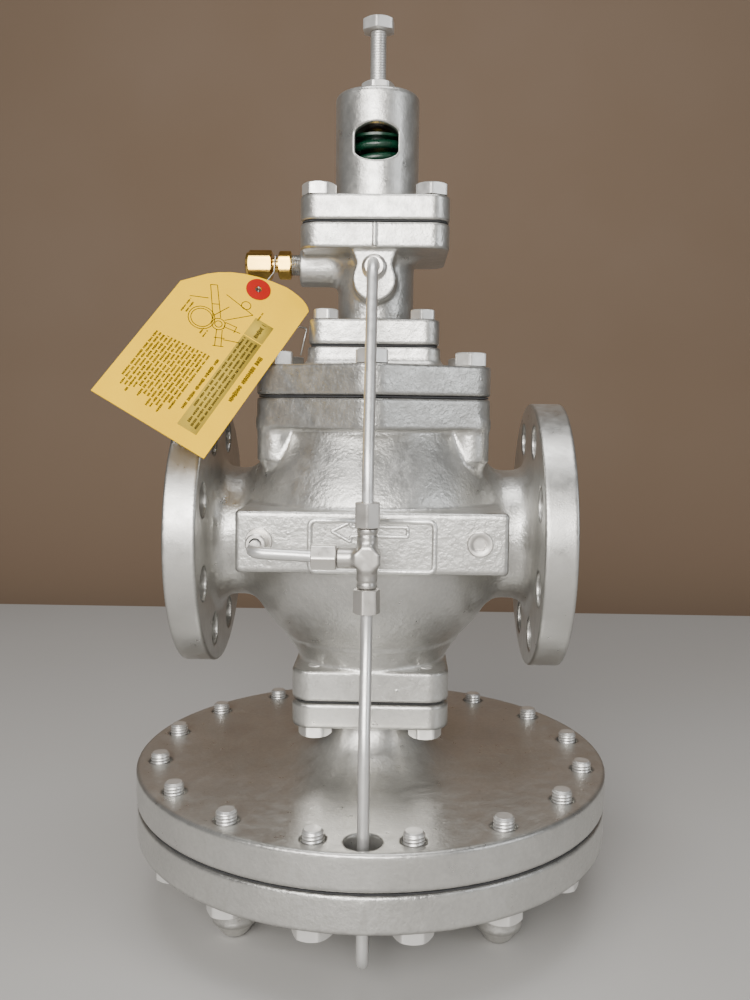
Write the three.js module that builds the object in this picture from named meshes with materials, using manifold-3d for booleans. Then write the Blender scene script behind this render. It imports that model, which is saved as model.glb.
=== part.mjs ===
import * as THREE from 'three';
import { mergeVertices } from 'three/addons/utils/BufferGeometryUtils.js';
import Module from 'manifold-3d';

// Pilot-operated pressure reducing valve, millimetres, +Z up.
// The origin is on the stem axis, level with the undersides of the feet.
// The inlet is at +X, the outlet at -X, and the sensing pipework runs down the front (-Y).

// Pipe line
const AXIS_Z = 218;
const FACE_X = 111;
const FLANGE = { radius: 77.5, inner: 91.5, outer: 109.4, raised: 48, pcd: 120, holes: 8, holeR: 9.5 };
const BORE_R = 25;
const NECK_R = 38;

// Main body
const BELLY_R = 79;
const CAVITY_R = 66;
const HEX_FLATS = 131.4;
const HEX_CORNER = 9;
const BODY_FLANGE = { bottom: 280.4, top: 297.4 };
const OPENING_R = 46;
const COVER_PCD = 125;
const PAD = { left: -70.3, right: 72.8, bottom: 205.5, top: 238.4, y: -78.6 };
const PANEL = { left: -32, right: 34, bottom: 206.6, top: 234.4, line: 2, raised: 1.5, arrowZ: 228.6 };
const PORT = { x: 57.5, z: 222.5 };
const LOWER_FLANGE = { half: 44.8, corner: 12, bottom: 126.4, top: 144.1, bolt: 31.8 };
const LUG = { radius: 11, bottom: 266, tip: 252, tipR: 5 };
const CHEEK = { inner: 36.5, front: 18, back: 40, top: 163 };

// Main cover and pilot
const COVER = { bottom: 298.8, top: 315.5, flare: 317.5, padTop: 325.9, padHalf: 37.2, flareHalf: 39 };
const PILOT_LOWER = { half: 36.6, corner: 9, bottom: 327.2, top: 341.2, bolt: 27.2 };
const PILOT_UPPER = { half: 41.2, corner: 11, bottom: 378.9, top: 392.8, bolt: 31 };
const FRONT_BOSS = { radius: 12, y: -38, z: 362.4 };
const SIDE_BOSS = { radius: 10.6, x: -44.2, z: 373 };
const PILOT_NECK_R = 22;
const SCREEN_R = 12;
const SENSE_PORT_Z = 375;
const TUBE_PORT_Z = 368.8;

// Spring case and adjusting gear
const SPRING_FLANGE = { bottom: 394, top: 407.7 };
const SPRING_CASE = { radius: 24, bore: 19.5, top: 470.4, roof: 6, guideR: 4.95 };
const WINDOW = { half: 12.6, bottom: 429.6, low: 433.7, high: 442.6, top: 450 };
const SCREW = { radius: 4.6, end: 453.3, head: 506.6, top: 513.2, flats: 17, turn: -0.09 };
const LOCKNUT = { flats: 17, bottom: 470.7, top: 478.1, turn: -0.33 };

// Diaphragm case
const CASE_R = 140.2;
const CASE = {
  feet: 0, dish: 26, lowRim: 42, lowTop: 62.2, highRim: 63.4, plate: 83, neck: 110.5, top: 125.1,
};
const CHAMBER_R = 104;
const HUB_R = 20;
const CASE_BOLTS = { count: 16, radius: 126.5, flats: 19, head: 7.3, tipR: 5.8, tip: 6 };
const DIAPHRAGM = { bottom: 62.5, top: 63.1 };
const PASS_HOLE_R = 9.5;
const FEET = { x: 73, y: 65, radius: 12.6, shoulder: 10, bottomR: 6 };

// Sensing pipework
const TUBE_R = 3;
const TEE = { y: -108, z: 219.2, up: 14.5, down: 15.1, side: 14.8, radius: 5.2, middleR: 7.6 };
const TEE_NUT = { gap: 0.3, length: 12.4 };
const TUBE_END = 0.8;
const TUBE_HOLE_R = 3.3;
const CONNECTOR_Z = 17;
const NUT_FLATS = 12;
const PLUG_R = 6.8;

// Lower and upper faces of the sheets between the castings
const SHEETS = {
  cover: [297.7, 298.5], pilot: [326.2, 326.9], diaphragm: [393.1, 393.7], neck: [125.4, 126.1],
};

// Clearance holes for M10 and M8 bolts, and their heads across flats
const M10 = { shank: 5, hole: 5.3, flats: 17 };
const M8 = { shank: 4, hole: 4.3, flats: 13 };

// Bolts between the castings: shank end, seat, head height (minus: under the seat), and the
// turn of the first head with the step from each head to the next
const BOLTS = {
  cover: { end: 282, seat: COVER.top, head: 7.4, turn: 0, step: -0.07 },
  springCase: { end: 380, seat: SPRING_FLANGE.top, head: 6.6, turn: -0.52, step: 0.47 },
  pilot: { end: 311, seat: PILOT_LOWER.top, head: 5.5, turn: -0.82, step: 0.68 },
  neck: { end: LOWER_FLANGE.top + 0.5, seat: CASE.neck, head: -6.6, turn: 0.5, step: 0 },
};

// Hanging tag: its lower left corner and the directions of its width, length and front
const TAG = {
  corner: new THREE.Vector3(-142.7, -84, 299.4),
  wide: new THREE.Vector3(0.86, 0, -0.51).normalize(),
  long: new THREE.Vector3(0.43, 0.537, 0.726).normalize(),
  width: 67,
  length: 117,
  eyelet: [37, 105.8],
  thickness: 0.5,
};

const wasm = await Module();
wasm.setup();

// ---- materials ----

function material(color, roughness, metalness) {
  return new THREE.MeshStandardMaterial({ color, roughness, metalness });
}

const FINISH = {
  paint: [0xb9bbba, 0.45, 0.6],
  tube: [0xaeb0ae, 0.35, 0.8],
  steel: [0x9a9c9d, 0.35, 0.9],
  brass: [0xc79a3c, 0.3, 0.9],
  spring: [0x1d4a35, 0.4, 0.2],
  gasket: [0x1c1c1e, 0.9, 0],
  card: [0xf0cf3a, 0.8, 0],
  red: [0xb5382a, 0.7, 0],
};

// ---- shapes ----

function cylinder(r, z0, z1, { x = 0, y = 0, segments = 24, top = r } = {}) {
  return new THREE.CylinderGeometry(top, r, z1 - z0, segments)
    .rotateX(Math.PI / 2)
    .translate(x, y, (z0 + z1) / 2);
}

function hexagon(flats, z0, z1, { x = 0, y = 0, turn = 0 } = {}) {
  return new THREE.CylinderGeometry(flats / Math.sqrt(3), flats / Math.sqrt(3), z1 - z0, 6)
    .rotateX(Math.PI / 2)
    .rotateZ(turn)
    .translate(x, y, (z0 + z1) / 2);
}

function block(x0, x1, y0, y1, z0, z1) {
  return new THREE.BoxGeometry(x1 - x0, y1 - y0, z1 - z0)
    .translate((x0 + x1) / 2, (y0 + y1) / 2, (z0 + z1) / 2);
}

function lathe(profile, segments = 24) {
  const points = profile.map(([r, z]) => new THREE.Vector2(r, z));
  return new THREE.LatheGeometry(points, segments).rotateX(Math.PI / 2);
}

function sphere(r, x, y, z, segments = 24) {
  return new THREE.SphereGeometry(r, segments, segments / 2).rotateX(Math.PI / 2).translate(x, y, z);
}

// Turns a shape made along Z so that it lies along X or Y.
const alongX = (geometry) => geometry.rotateY(Math.PI / 2);
const alongY = (geometry) => geometry.rotateX(-Math.PI / 2);

// A convex outline whose corners are rounded.
function roundedOutline(corners, radius) {
  const shape = new THREE.Shape();
  corners.forEach(([x, y], i) => {
    const corner = new THREE.Vector2(x, y);
    const before = new THREE.Vector2(...corners.at(i - 1)).sub(corner).setLength(radius).add(corner);
    const after = new THREE.Vector2(...corners[(i + 1) % corners.length]).sub(corner);
    after.setLength(radius).add(corner);
    if (i === 0) shape.moveTo(before.x, before.y);
    else shape.lineTo(before.x, before.y);
    shape.quadraticCurveTo(x, y, after.x, after.y);
  });
  shape.closePath();
  return shape;
}

function plate(shape, z0, z1, curveSegments = 3) {
  return new THREE.ExtrudeGeometry(shape, { depth: z1 - z0, bevelEnabled: false, curveSegments })
    .translate(0, 0, z0);
}

const squareOutline = (half, radius) =>
  roundedOutline([[-half, -half], [half, -half], [half, half], [-half, half]], radius);

function hexOutline(flats, radius) {
  const corners = Array.from({ length: 6 }, (_, i) => {
    const angle = -Math.PI / 2 + (i * Math.PI) / 3;
    return [Math.cos(angle), Math.sin(angle)].map((v) => (v * flats) / Math.sqrt(3));
  });
  return roundedOutline(corners, radius);
}

// The four places of a square bolt pattern, and places spaced evenly on a circle.
const square = (half) => [[-half, -half], [half, -half], [half, half], [-half, half]];
function ring(radius, count, start) {
  return Array.from({ length: count }, (_, i) => {
    const angle = start + (i * 2 * Math.PI) / count;
    return [radius * Math.cos(angle), radius * Math.sin(angle)];
  });
}

// Upright cylinders at each of several places.
const posts = (places, r, z0, z1, segments = 10) =>
  places.map(([x, y]) => cylinder(r, z0, z1, { x, y, segments }));

// A line of straight runs joined by bends, stepped once along a run and several times round a bend.
class BentLine extends THREE.Curve {
  constructor(points, bend, bendSteps) {
    super();
    const at = points.map((p) => new THREE.Vector3(...p));
    this.steps = [];
    let from = at[0];
    for (let i = 1; i < at.length - 1; i++) {
      const before = at[i - 1].clone().sub(at[i]).setLength(bend).add(at[i]);
      const after = at[i + 1].clone().sub(at[i]).setLength(bend).add(at[i]);
      this.addCurve(new THREE.LineCurve3(from, before), 1);
      this.addCurve(new THREE.QuadraticBezierCurve3(before, at[i], after), bendSteps);
      from = after;
    }
    this.addCurve(new THREE.LineCurve3(from, at.at(-1)), 1);
  }

  addCurve(curve, count) {
    for (let i = 0; i < count; i++) this.steps.push([curve, i / count, (i + 1) / count]);
  }

  getUtoTmapping(u) {
    return u;
  }

  getPoint(t, target = new THREE.Vector3()) {
    const place = Math.min(t * this.steps.length, this.steps.length - 1e-9);
    const [curve, start, end] = this.steps[Math.floor(place)];
    return target.copy(curve.getPoint(start + (end - start) * (place % 1)));
  }
}

function bar(points, radius, bend, bendSteps = 5, sides = 10) {
  const path = new BentLine(points, bend, bendSteps);
  return sweep(path, radius, path.steps.length, sides);
}

function sweep(path, radius, steps, sides) {
  const corners = Array.from({ length: sides }, (_, i) => (i * 2 * Math.PI) / sides)
    .map((angle) => new THREE.Vector2(radius * Math.cos(angle), radius * Math.sin(angle)));
  const settings = { steps, extrudePath: path, bevelEnabled: false };
  return new THREE.ExtrudeGeometry(new THREE.Shape(corners), settings);
}

// A compression spring with ends ground flat.
function spring(meanR, wireR, z0, z1, turns) {
  class Helix extends THREE.Curve {
    getPoint(t, target = new THREE.Vector3()) {
      const angle = -Math.PI / 2 + t * turns * 2 * Math.PI;
      return target.set(meanR * Math.cos(angle), meanR * Math.sin(angle), z0 + t * (z1 - z0));
    }
  }
  const wire = sweep(new Helix(), wireR, turns * 10, 6);
  return meet(wire, cylinder(meanR + 2 * wireR, z0, z1));
}

// ---- joining and cutting ----

function solid(shape) {
  if (!shape.isBufferGeometry) return shape;
  const plain = shape.clone();
  plain.deleteAttribute('normal');
  plain.deleteAttribute('uv');
  const merged = mergeVertices(plain, 1e-4);
  const vertProperties = Float32Array.from(merged.attributes.position.array);
  const triVerts = Uint32Array.from(merged.index.array);
  if (signedVolume(vertProperties, triVerts) < 0) triVerts.reverse();
  return new wasm.Manifold(new wasm.Mesh({ numProp: 3, vertProperties, triVerts }));
}

function signedVolume(positions, triangles) {
  const corner = (i) => new THREE.Vector3().fromArray(positions, 3 * triangles[i]);
  let volume = 0;
  for (let i = 0; i < triangles.length; i += 3) {
    volume += corner(i).dot(corner(i + 1).cross(corner(i + 2)));
  }
  return volume;
}

const join = (...shapes) => shapes.map(solid).reduce((a, b) => a.add(b));
const cut = (base, ...tools) => tools.map(solid).reduce((a, b) => a.subtract(b), solid(base));
const meet = (a, b) => solid(a).intersect(solid(b));

function geometryOf(body) {
  const { vertProperties, triVerts } = body.getMesh();
  const indexed = new THREE.BufferGeometry();
  indexed.setAttribute('position', new THREE.BufferAttribute(vertProperties, 3));
  indexed.setIndex(new THREE.BufferAttribute(triVerts, 1));
  const geometry = indexed.toNonIndexed();
  geometry.computeVertexNormals();
  return geometry;
}

const valve = new THREE.Group();
valve.name = 'pressure_reducing_valve';

function part(name, finish, shape) {
  const mesh = new THREE.Mesh(geometryOf(solid(shape)), material(...FINISH[finish]));
  mesh.name = name;
  valve.add(mesh);
}

const COVER_BOLT_PLACES = ring(COVER_PCD / 2, 6, -Math.PI / 2);
const CASE_BOLT_PLACES = ring(
  CASE_BOLTS.radius, CASE_BOLTS.count, -Math.PI / 2 + Math.PI / CASE_BOLTS.count);
const FOOT_PLACES = square(1).map(([sx, sy]) => [sx * FEET.x, sy * FEET.y]);

// ---- castings ----

// A pipe flange and half of the neck behind it, along +X or -X.
function pipeEnd(side) {
  const { radius, inner, outer, raised } = FLANGE;
  const profile = [
    [0, 30], [NECK_R, 30], [NECK_R, 78], [NECK_R + 3, 86], [NECK_R + 9, inner], [radius, inner],
    [radius, outer], [raised, outer], [raised, FACE_X], [0, FACE_X],
  ];
  return alongX(lathe(profile, 32)).scale(side, 1, 1).translate(0, 0, AXIS_Z);
}

const xCylinder = (r, x0, x1) => alongX(cylinder(r, x0, x1)).translate(0, 0, AXIS_Z);

function flangeHoles() {
  const { inner, outer, pcd, holes, holeR } = FLANGE;
  return [-1, 1].flatMap((side) => ring(pcd / 2, holes, Math.PI / holes).map(([y, z]) =>
    alongX(cylinder(holeR, inner - 8, outer + 1, { segments: 10 }))
      .scale(side, 1, 1).translate(0, y, AXIS_Z + z)));
}

// The raised front bar with its outlined panel and flow arrow.
function frontPad() {
  const { left, right, bottom, top, y } = PAD;
  const base = block(left, right, y, -30, bottom, top);
  const { line, raised } = PANEL;
  const frame = cut(
    block(PANEL.left, PANEL.right, y - raised, y + 2, PANEL.bottom, PANEL.top),
    block(PANEL.left + line, PANEL.right - line, y - 2, y + 4, PANEL.bottom + line, PANEL.top - line),
  );
  const outline = [[-20, 0], [-10, 7], [-10, 2.2], [20, 2.2], [20, -2.2], [-10, -2.2], [-10, -7]];
  const arrow = new THREE.Shape(outline.map(([x, z]) => new THREE.Vector2(x, z)));
  const relief = plate(arrow, 0, 3).rotateX(Math.PI / 2).translate(0, y + raised, PANEL.arrowZ);
  return join(base, frame, relief);
}

function mainBody() {
  const lugs = COVER_BOLT_PLACES.filter(([x]) => Math.abs(x) > 1).flatMap(([x, y]) => [
    cylinder(LUG.tipR, LUG.tip, LUG.bottom, { x, y, segments: 10, top: LUG.radius }),
    cylinder(LUG.radius, LUG.bottom, BODY_FLANGE.bottom + 1, { x, y, segments: 10 }),
  ]);
  const cheeks = [-1, 1].map((side) => block(
    ...[side * CHEEK.inner, side * LOWER_FLANGE.half].sort((a, b) => a - b),
    CHEEK.front, CHEEK.back, LOWER_FLANGE.top - 1, CHEEK.top,
  ));
  const outside = join(
    sphere(BELLY_R, 0, 0, AXIS_Z, 28),
    pipeEnd(1), pipeEnd(-1),
    cylinder(58, 262, 282, { segments: 32 }),
    plate(hexOutline(HEX_FLATS, HEX_CORNER), BODY_FLANGE.bottom, BODY_FLANGE.top),
    ...lugs,
    ...cheeks,
    cylinder(41, 143, 156, { segments: 32, top: 50 }),
    plate(squareOutline(LOWER_FLANGE.half, LOWER_FLANGE.corner), LOWER_FLANGE.bottom, LOWER_FLANGE.top),
    frontPad(),
  );
  const cavity = sphere(CAVITY_R, 0, 0, AXIS_Z, 20);
  const inletSide = cut(
    meet(cavity, block(-70, 70, -70, 70, 228, 300)), xCylinder(33, -80, -30));
  const outletSide = cut(
    meet(cavity, block(-70, 70, -70, 70, 140, 210)), xCylinder(33, 30, 80));
  return cut(
    outside, inletSide, outletSide,
    xCylinder(BORE_R, 38, FACE_X + 1), xCylinder(BORE_R, -FACE_X - 1, -38),
    cylinder(OPENING_R, 262, 300, { segments: 32 }),
    cylinder(24, 216, 230), cylinder(18.5, 205, 218),
    cylinder(14, 125, 160),
    ...flangeHoles(),
    ...posts(COVER_BOLT_PLACES, M10.hole, 281, 300),
    ...posts(square(LOWER_FLANGE.bolt), M10.hole, 125, 146),
    ...[-1, 1].map((side) =>
      alongY(cylinder(5, -90, -66, { segments: 12 })).translate(side * PORT.x, 0, PORT.z)),
  );
}

function mainCover() {
  const plateTop = join(
    plate(hexOutline(HEX_FLATS, HEX_CORNER), COVER.bottom, COVER.top),
    cylinder(45.4, 291, COVER.bottom, { segments: 40 }),
    cylinder(9.5, 262, 292),
    plate(squareOutline(COVER.flareHalf, 10), COVER.top - 1, COVER.flare),
    plate(squareOutline(COVER.padHalf, 9), COVER.top - 1, COVER.padTop),
  );
  return cut(
    plateTop,
    cylinder(5, 261, 284, { segments: 16 }),
    ...posts(COVER_BOLT_PLACES, M10.hole, 297, 317),
    ...posts(square(PILOT_LOWER.bolt), M8.hole, 310, 327),
  );
}

function pilotBody() {
  const outside = join(
    plate(squareOutline(PILOT_LOWER.half, PILOT_LOWER.corner), PILOT_LOWER.bottom, PILOT_LOWER.top),
    lathe([
      [0, 335], [PILOT_NECK_R + 2, 341], [PILOT_NECK_R, 344], [PILOT_NECK_R, 374],
      [PILOT_NECK_R + 4, 379.5], [0, 379.5],
    ]),
    plate(squareOutline(PILOT_UPPER.half, PILOT_UPPER.corner), PILOT_UPPER.bottom, PILOT_UPPER.top),
    block(-1, 1, -PILOT_UPPER.half - 0.7, 0, PILOT_UPPER.bottom + 1, PILOT_UPPER.top),
    alongY(cylinder(FRONT_BOSS.radius, FRONT_BOSS.y, 0)).translate(0, 0, FRONT_BOSS.z),
    block(-10, 10, FRONT_BOSS.y, 0, FRONT_BOSS.z, PILOT_UPPER.bottom + 1),
    alongX(cylinder(SIDE_BOSS.radius, SIDE_BOSS.x, 0)).translate(0, 0, SIDE_BOSS.z),
  );
  return cut(
    outside,
    cylinder(20, 384, 394), cylinder(9, 352, 385), cylinder(2.5, 348, 353, { segments: 12 }),
    cylinder(SCREEN_R, 326, 349.5),
    alongY(cylinder(2.5, -40, -5, { segments: 12 })).translate(0, 0, TUBE_PORT_Z),
    alongX(cylinder(4.6, -46, -34, { segments: 16 })).translate(0, 0, SENSE_PORT_Z),
    alongX(cylinder(2.5, -36, -5, { segments: 12 })).translate(0, 0, SENSE_PORT_Z),
    ...posts(square(PILOT_LOWER.bolt), M8.hole, 326, 342),
    ...posts(square(PILOT_UPPER.bolt), M10.hole, 378, 394),
  );
}

function springCase() {
  const { radius, bore, top, roof, guideR } = SPRING_CASE;
  const outside = join(
    plate(squareOutline(PILOT_UPPER.half, PILOT_UPPER.corner), SPRING_FLANGE.bottom, SPRING_FLANGE.top),
    lathe([
      [0, 400], [radius + 1, 407], [radius, 409], [radius, top - 3], [radius - 3, top], [0, top],
    ], 32),
  );
  const opening = new THREE.Shape();
  const { half, bottom, low, high, top: crown } = WINDOW;
  opening.moveTo(-half, low).quadraticCurveTo(-half + 3, bottom, 0, bottom);
  opening.quadraticCurveTo(half - 3, bottom, half, low).lineTo(half, high);
  opening.quadraticCurveTo(half - 3, crown, 0, crown).quadraticCurveTo(-half + 3, crown, -half, high);
  return cut(
    outside,
    cylinder(bore, 393, top - roof, { segments: 32 }),
    cylinder(guideR, top - roof - 1, top + 1, { segments: 16 }),
    plate(opening, 0, 30).rotateX(Math.PI / 2),
    ...posts(square(PILOT_UPPER.bolt), M10.hole, 393, 409),
  );
}

// The upper half of the diaphragm case, with the ends of its bolts standing on the rim.
function caseUpper() {
  const { highRim, plate: top, neck, top: face } = CASE;
  const shell = join(
    lathe([
      [0, highRim], [CASE_R, highRim], [CASE_R, top - 2], [CASE_R - 2, top], [62, top], [44, top + 4],
      [34, top + 12], [31, neck + 1], [0, neck + 1],
    ], 48),
    plate(squareOutline(LOWER_FLANGE.half, LOWER_FLANGE.corner), neck, face),
    ...posts(CASE_BOLT_PLACES, CASE_BOLTS.tipR, top - 1, top + CASE_BOLTS.tip, 8),
  );
  return cut(
    shell,
    cylinder(CHAMBER_R, highRim - 1, 75, { segments: 48 }),
    cylinder(HUB_R, 74, face + 1),
    cylinder(PASS_HOLE_R, highRim - 1, top + 1, { y: -CASE_BOLTS.radius }),
    ...posts(square(LOWER_FLANGE.bolt), M10.hole, neck - 1, face + 1),
  );
}

// The lower half, with the heads of the case bolts under its rim and the four feet.
function caseLower() {
  const { dish, lowRim, lowTop, feet } = CASE;
  const shell = join(
    lathe([
      [0, dish], [102, dish], [110, 31], [114, lowRim], [CASE_R - 2, lowRim], [CASE_R, lowRim + 2],
      [CASE_R, lowTop], [0, lowTop],
    ], 48),
    ...CASE_BOLT_PLACES.map(([x, y]) =>
      hexagon(CASE_BOLTS.flats, lowRim - CASE_BOLTS.head, lowRim + 1, { x, y })),
    ...FOOT_PLACES.flatMap(([x, y]) => [
      cylinder(FEET.bottomR, feet, FEET.shoulder, { x, y, segments: 20, top: FEET.radius }),
      cylinder(FEET.radius, FEET.shoulder, dish + 8, { x, y, segments: 20 }),
    ]),
  );
  return cut(
    shell,
    lathe([[0, 35], [94, 35], [CHAMBER_R, 42], [CHAMBER_R, lowTop + 1], [0, lowTop + 1]], 48),
    cylinder(PASS_HOLE_R, lowRim - 1, lowTop + 1, { y: -CASE_BOLTS.radius }),
    cylinder(6, dish - 1, 36, { segments: 16 }),
  );
}

// A thin sheet clamped between two castings, with bolt holes and a middle hole if openR is over 0.
function sheet(outline, [low, high], openR, boltPlaces, boltR) {
  const middle = openR > 0 ? [cylinder(openR, low - 1, high + 1, { segments: 40 })] : [];
  const boltHoles = posts(boltPlaces, boltR + 0.2, low - 1, high + 1, 8);
  return cut(plate(outline, low, high), ...middle, ...boltHoles);
}

// ---- fasteners and fittings ----

function bolt({ shank, flats }, { end, seat, head }, x, y, turn) {
  const side = Math.sign(head);
  const under = seat + side * 0.3;
  const [low, high] = [under, under + head].sort((a, b) => a - b);
  const [from, to] = [end, under + side].sort((a, b) => a - b);
  return join(
    cylinder(shank, from, to, { x, y, segments: 8 }),
    hexagon(flats, low, high, { x, y, turn }),
  );
}

function boltSet(name, places, size, set) {
  places.forEach(([x, y], i) =>
    part(`${name}_${i + 1}`, 'steel', bolt(size, set, x, y, set.turn + i * set.step)));
}

const threadedNut = (z0, z1) => cut(
  hexagon(NUT_FLATS, z0, z1), cylinder(TUBE_HOLE_R, z0 - 1, z1 + 1, { segments: 12 }));

// A nut past one end of the tee, made along Z about the origin.
function teeNut(reach, sign) {
  const near = reach + TEE_NUT.gap;
  const [low, high] = [sign * near, sign * (near + TEE_NUT.length)].sort((a, b) => a - b);
  return geometryOf(threadedNut(low, high));
}

// A point on the tag, from its width and length directions, and a distance in front of it.
const tagFront = TAG.wide.clone().cross(TAG.long).normalize();
const tagMatrix = new THREE.Matrix4()
  .makeBasis(TAG.wide, tagFront.clone().cross(TAG.wide), tagFront).setPosition(TAG.corner);
const onTag = (across, along, front) =>
  new THREE.Vector3(across, along, front).applyMatrix4(tagMatrix).toArray();

function tagCard() {
  const { width, length, eyelet, thickness } = TAG;
  const shape = new THREE.Shape();
  shape.moveTo(0, 0).lineTo(width, 0).lineTo(width, length - 6);
  shape.quadraticCurveTo(width - 4, length, 49, length).quadraticCurveTo(22, length - 4, 9, length - 20);
  shape.lineTo(0, length - 33).closePath();
  const card = plate(shape, 0, thickness, 6);
  const hole = cylinder(1.9, -1, 2, { x: eyelet[0], y: eyelet[1], segments: 12 });
  return geometryOf(cut(card, hole)).applyMatrix4(tagMatrix);
}

// ---- the assembly ----

part('main_body', 'paint', mainBody());
part('main_cover', 'paint', mainCover());
part('main_cover_gasket', 'gasket', sheet(
  hexOutline(HEX_FLATS - 2, HEX_CORNER), SHEETS.cover, OPENING_R, COVER_BOLT_PLACES, M10.hole));
part('pilot_body', 'paint', pilotBody());
part('pilot_body_gasket', 'gasket', sheet(
  squareOutline(35.4, PILOT_LOWER.corner), SHEETS.pilot, SCREEN_R, square(PILOT_LOWER.bolt), M8.hole));
part('pilot_diaphragm', 'steel', sheet(
  squareOutline(40.4, PILOT_UPPER.corner), SHEETS.diaphragm, 0, square(PILOT_UPPER.bolt), M10.hole));
part('spring_case', 'paint', springCase());

// Adjusting gear
part('adjusting_screw', 'steel', join(
  cylinder(SCREW.radius, SCREW.end, SCREW.head + 1, { segments: 16 }),
  hexagon(SCREW.flats, SCREW.head, SCREW.top, { turn: SCREW.turn }),
));
part('adjusting_screw_locknut', 'steel', cut(
  hexagon(LOCKNUT.flats, LOCKNUT.bottom, LOCKNUT.top, { turn: LOCKNUT.turn }),
  cylinder(SPRING_CASE.guideR, LOCKNUT.bottom - 1, LOCKNUT.top + 1, { segments: 16 }),
));
part('upper_spring_seat', 'brass', lathe([
  [0, 441], [10.4, 441], [10.4, 445.2], [16.8, 445.2], [16.8, 446.6], [12, 447.6], [9.5, 450],
  [5, 452.6], [0, 453],
]));
part('adjusting_spring', 'spring', spring(14, 2.4, 398.3, 444.9, 6));
part('lower_spring_seat', 'steel', lathe([
  [0, 394], [17, 394], [17, 398], [10.5, 398], [10.5, 402], [0, 402],
]));

// Pilot valve
part('pilot_valve', 'steel', lathe([
  [0, 361], [4.5, 361], [4.5, 368.2], [2, 371.8], [2, 389.5], [8, 389.5], [8, 392.8], [0, 392.8],
], 20));
part('pilot_valve_seat', 'steel', lathe([[3, 371], [8.7, 371], [8.7, 378], [3, 378], [3, 371]], 20));
part('pilot_valve_spring', 'steel', spring(3.4, 0.6, 352.3, 360.7, 3));
part('pilot_screen', 'steel', lathe([
  [10.5, 327.5], [11.7, 327.5], [11.7, 349.2], [10.5, 349.2], [10.5, 327.5],
]));

// Main valve
part('main_valve_disc', 'steel', lathe([
  [0, 230.3], [21, 230.3], [22, 231.5], [22, 240], [4.7, 240], [4.7, 268], [0, 268],
]));
part('main_valve_seat', 'steel', lathe([
  [17.5, 218.3], [23.7, 218.3], [23.7, 230], [17.5, 230], [17.5, 218.3],
]));
part('main_valve_spring', 'steel', spring(13, 1.5, 240.3, 290.7, 5));
part('main_valve_stem', 'steel', cylinder(5, 69.3, 230, { segments: 16 }));
part('stem_guide', 'brass', lathe([
  [5.3, 126.7], [13.7, 126.7], [13.7, 160], [9, 164], [5.3, 164], [5.3, 126.7],
], 24));

// Diaphragm case
part('neck_gasket', 'gasket', sheet(
  squareOutline(42.8, LOWER_FLANGE.corner), SHEETS.neck, HUB_R, square(LOWER_FLANGE.bolt), M10.hole));
part('diaphragm_case_upper', 'paint', caseUpper());
part('main_diaphragm', 'gasket', cut(
  cylinder(CASE_R - 1, DIAPHRAGM.bottom, DIAPHRAGM.top, { segments: 48 }),
  cylinder(PASS_HOLE_R, DIAPHRAGM.bottom - 1, DIAPHRAGM.top + 1, { y: -CASE_BOLTS.radius }),
));
part('diaphragm_pressure_plate', 'steel', cut(
  lathe([
    [0, CASE.highRim], [88, CASE.highRim], [88, CASE.highRim + 4], [12, CASE.highRim + 4],
    [12, 75], [0, 75],
  ], 40),
  cylinder(5.3, 69, 76, { segments: 16 }),
));
part('diaphragm_case_lower', 'paint', caseLower());

// Bolts
boltSet('cover_bolt', COVER_BOLT_PLACES, M10, BOLTS.cover);
boltSet('spring_case_bolt', square(PILOT_UPPER.bolt), M10, BOLTS.springCase);
boltSet('pilot_bolt', square(PILOT_LOWER.bolt), M8, BOLTS.pilot);
boltSet('neck_bolt', square(LOWER_FLANGE.bolt), M10, BOLTS.neck);

// Sensing pipework: pilot to tee, tee to case, outlet port to tee
part('pilot_port_nut', 'tube', alongY(geometryOf(cut(
  lathe([[0, -44], [5.2, -44], [5.2, -41.5], [7, -40.3], [7, -38.3], [0, -38.3]], 20),
  cylinder(TUBE_HOLE_R, -45, -38, { segments: 12 }),
))).translate(0, 0, TUBE_PORT_Z));
part('sensing_pipe_upper', 'tube', bar([
  [0, -39, TUBE_PORT_Z], [0, -66, TUBE_PORT_Z], [0, TEE.y, 262], [0, TEE.y, TEE.z + TEE.up + TUBE_END],
], TUBE_R, 12));
part('tee_nut_top', 'tube', teeNut(TEE.up, 1).translate(0, TEE.y, TEE.z));
part('pipe_tee', 'tube', join(
  cylinder(TEE.radius, TEE.z - TEE.down, TEE.z + TEE.up, { y: TEE.y, segments: 16 }),
  alongX(cylinder(TEE.radius, -TEE.side, 0, { segments: 16 })).translate(0, TEE.y, TEE.z),
  sphere(TEE.middleR, 0, TEE.y, TEE.z, 16),
));
part('tee_nut_bottom', 'tube', teeNut(TEE.down, -1).translate(0, TEE.y, TEE.z));
part('tee_nut_side', 'tube', alongX(teeNut(TEE.side, -1)).translate(0, TEE.y, TEE.z));
part('sensing_pipe_lower', 'tube', bar([
  [0, TEE.y, TEE.z - TEE.down - TUBE_END], [0, TEE.y, 178], [0, -CASE_BOLTS.radius, 128],
  [0, -CASE_BOLTS.radius, CONNECTOR_Z], [0, -8, CONNECTOR_Z],
], TUBE_R, 12));
part('sensing_pipe_side', 'tube', bar([
  [-PORT.x, -84, PORT.z], [-PORT.x, TEE.y, PORT.z], [-31, TEE.y, TEE.z],
  [-TEE.side - TUBE_END, TEE.y, TEE.z],
], TUBE_R, 8));
part('outlet_port_connector', 'tube', alongY(geometryOf(cut(
  join(
    cylinder(4.7, -79, -70, { segments: 12 }),
    cylinder(7, -81, -79, { segments: 20 }),
    cylinder(5.6, -92, -80, { segments: 20 }),
  ),
  cylinder(TUBE_HOLE_R, -93, -83.7, { segments: 12 }),
))).translate(-PORT.x, 0, PORT.z));
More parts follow.
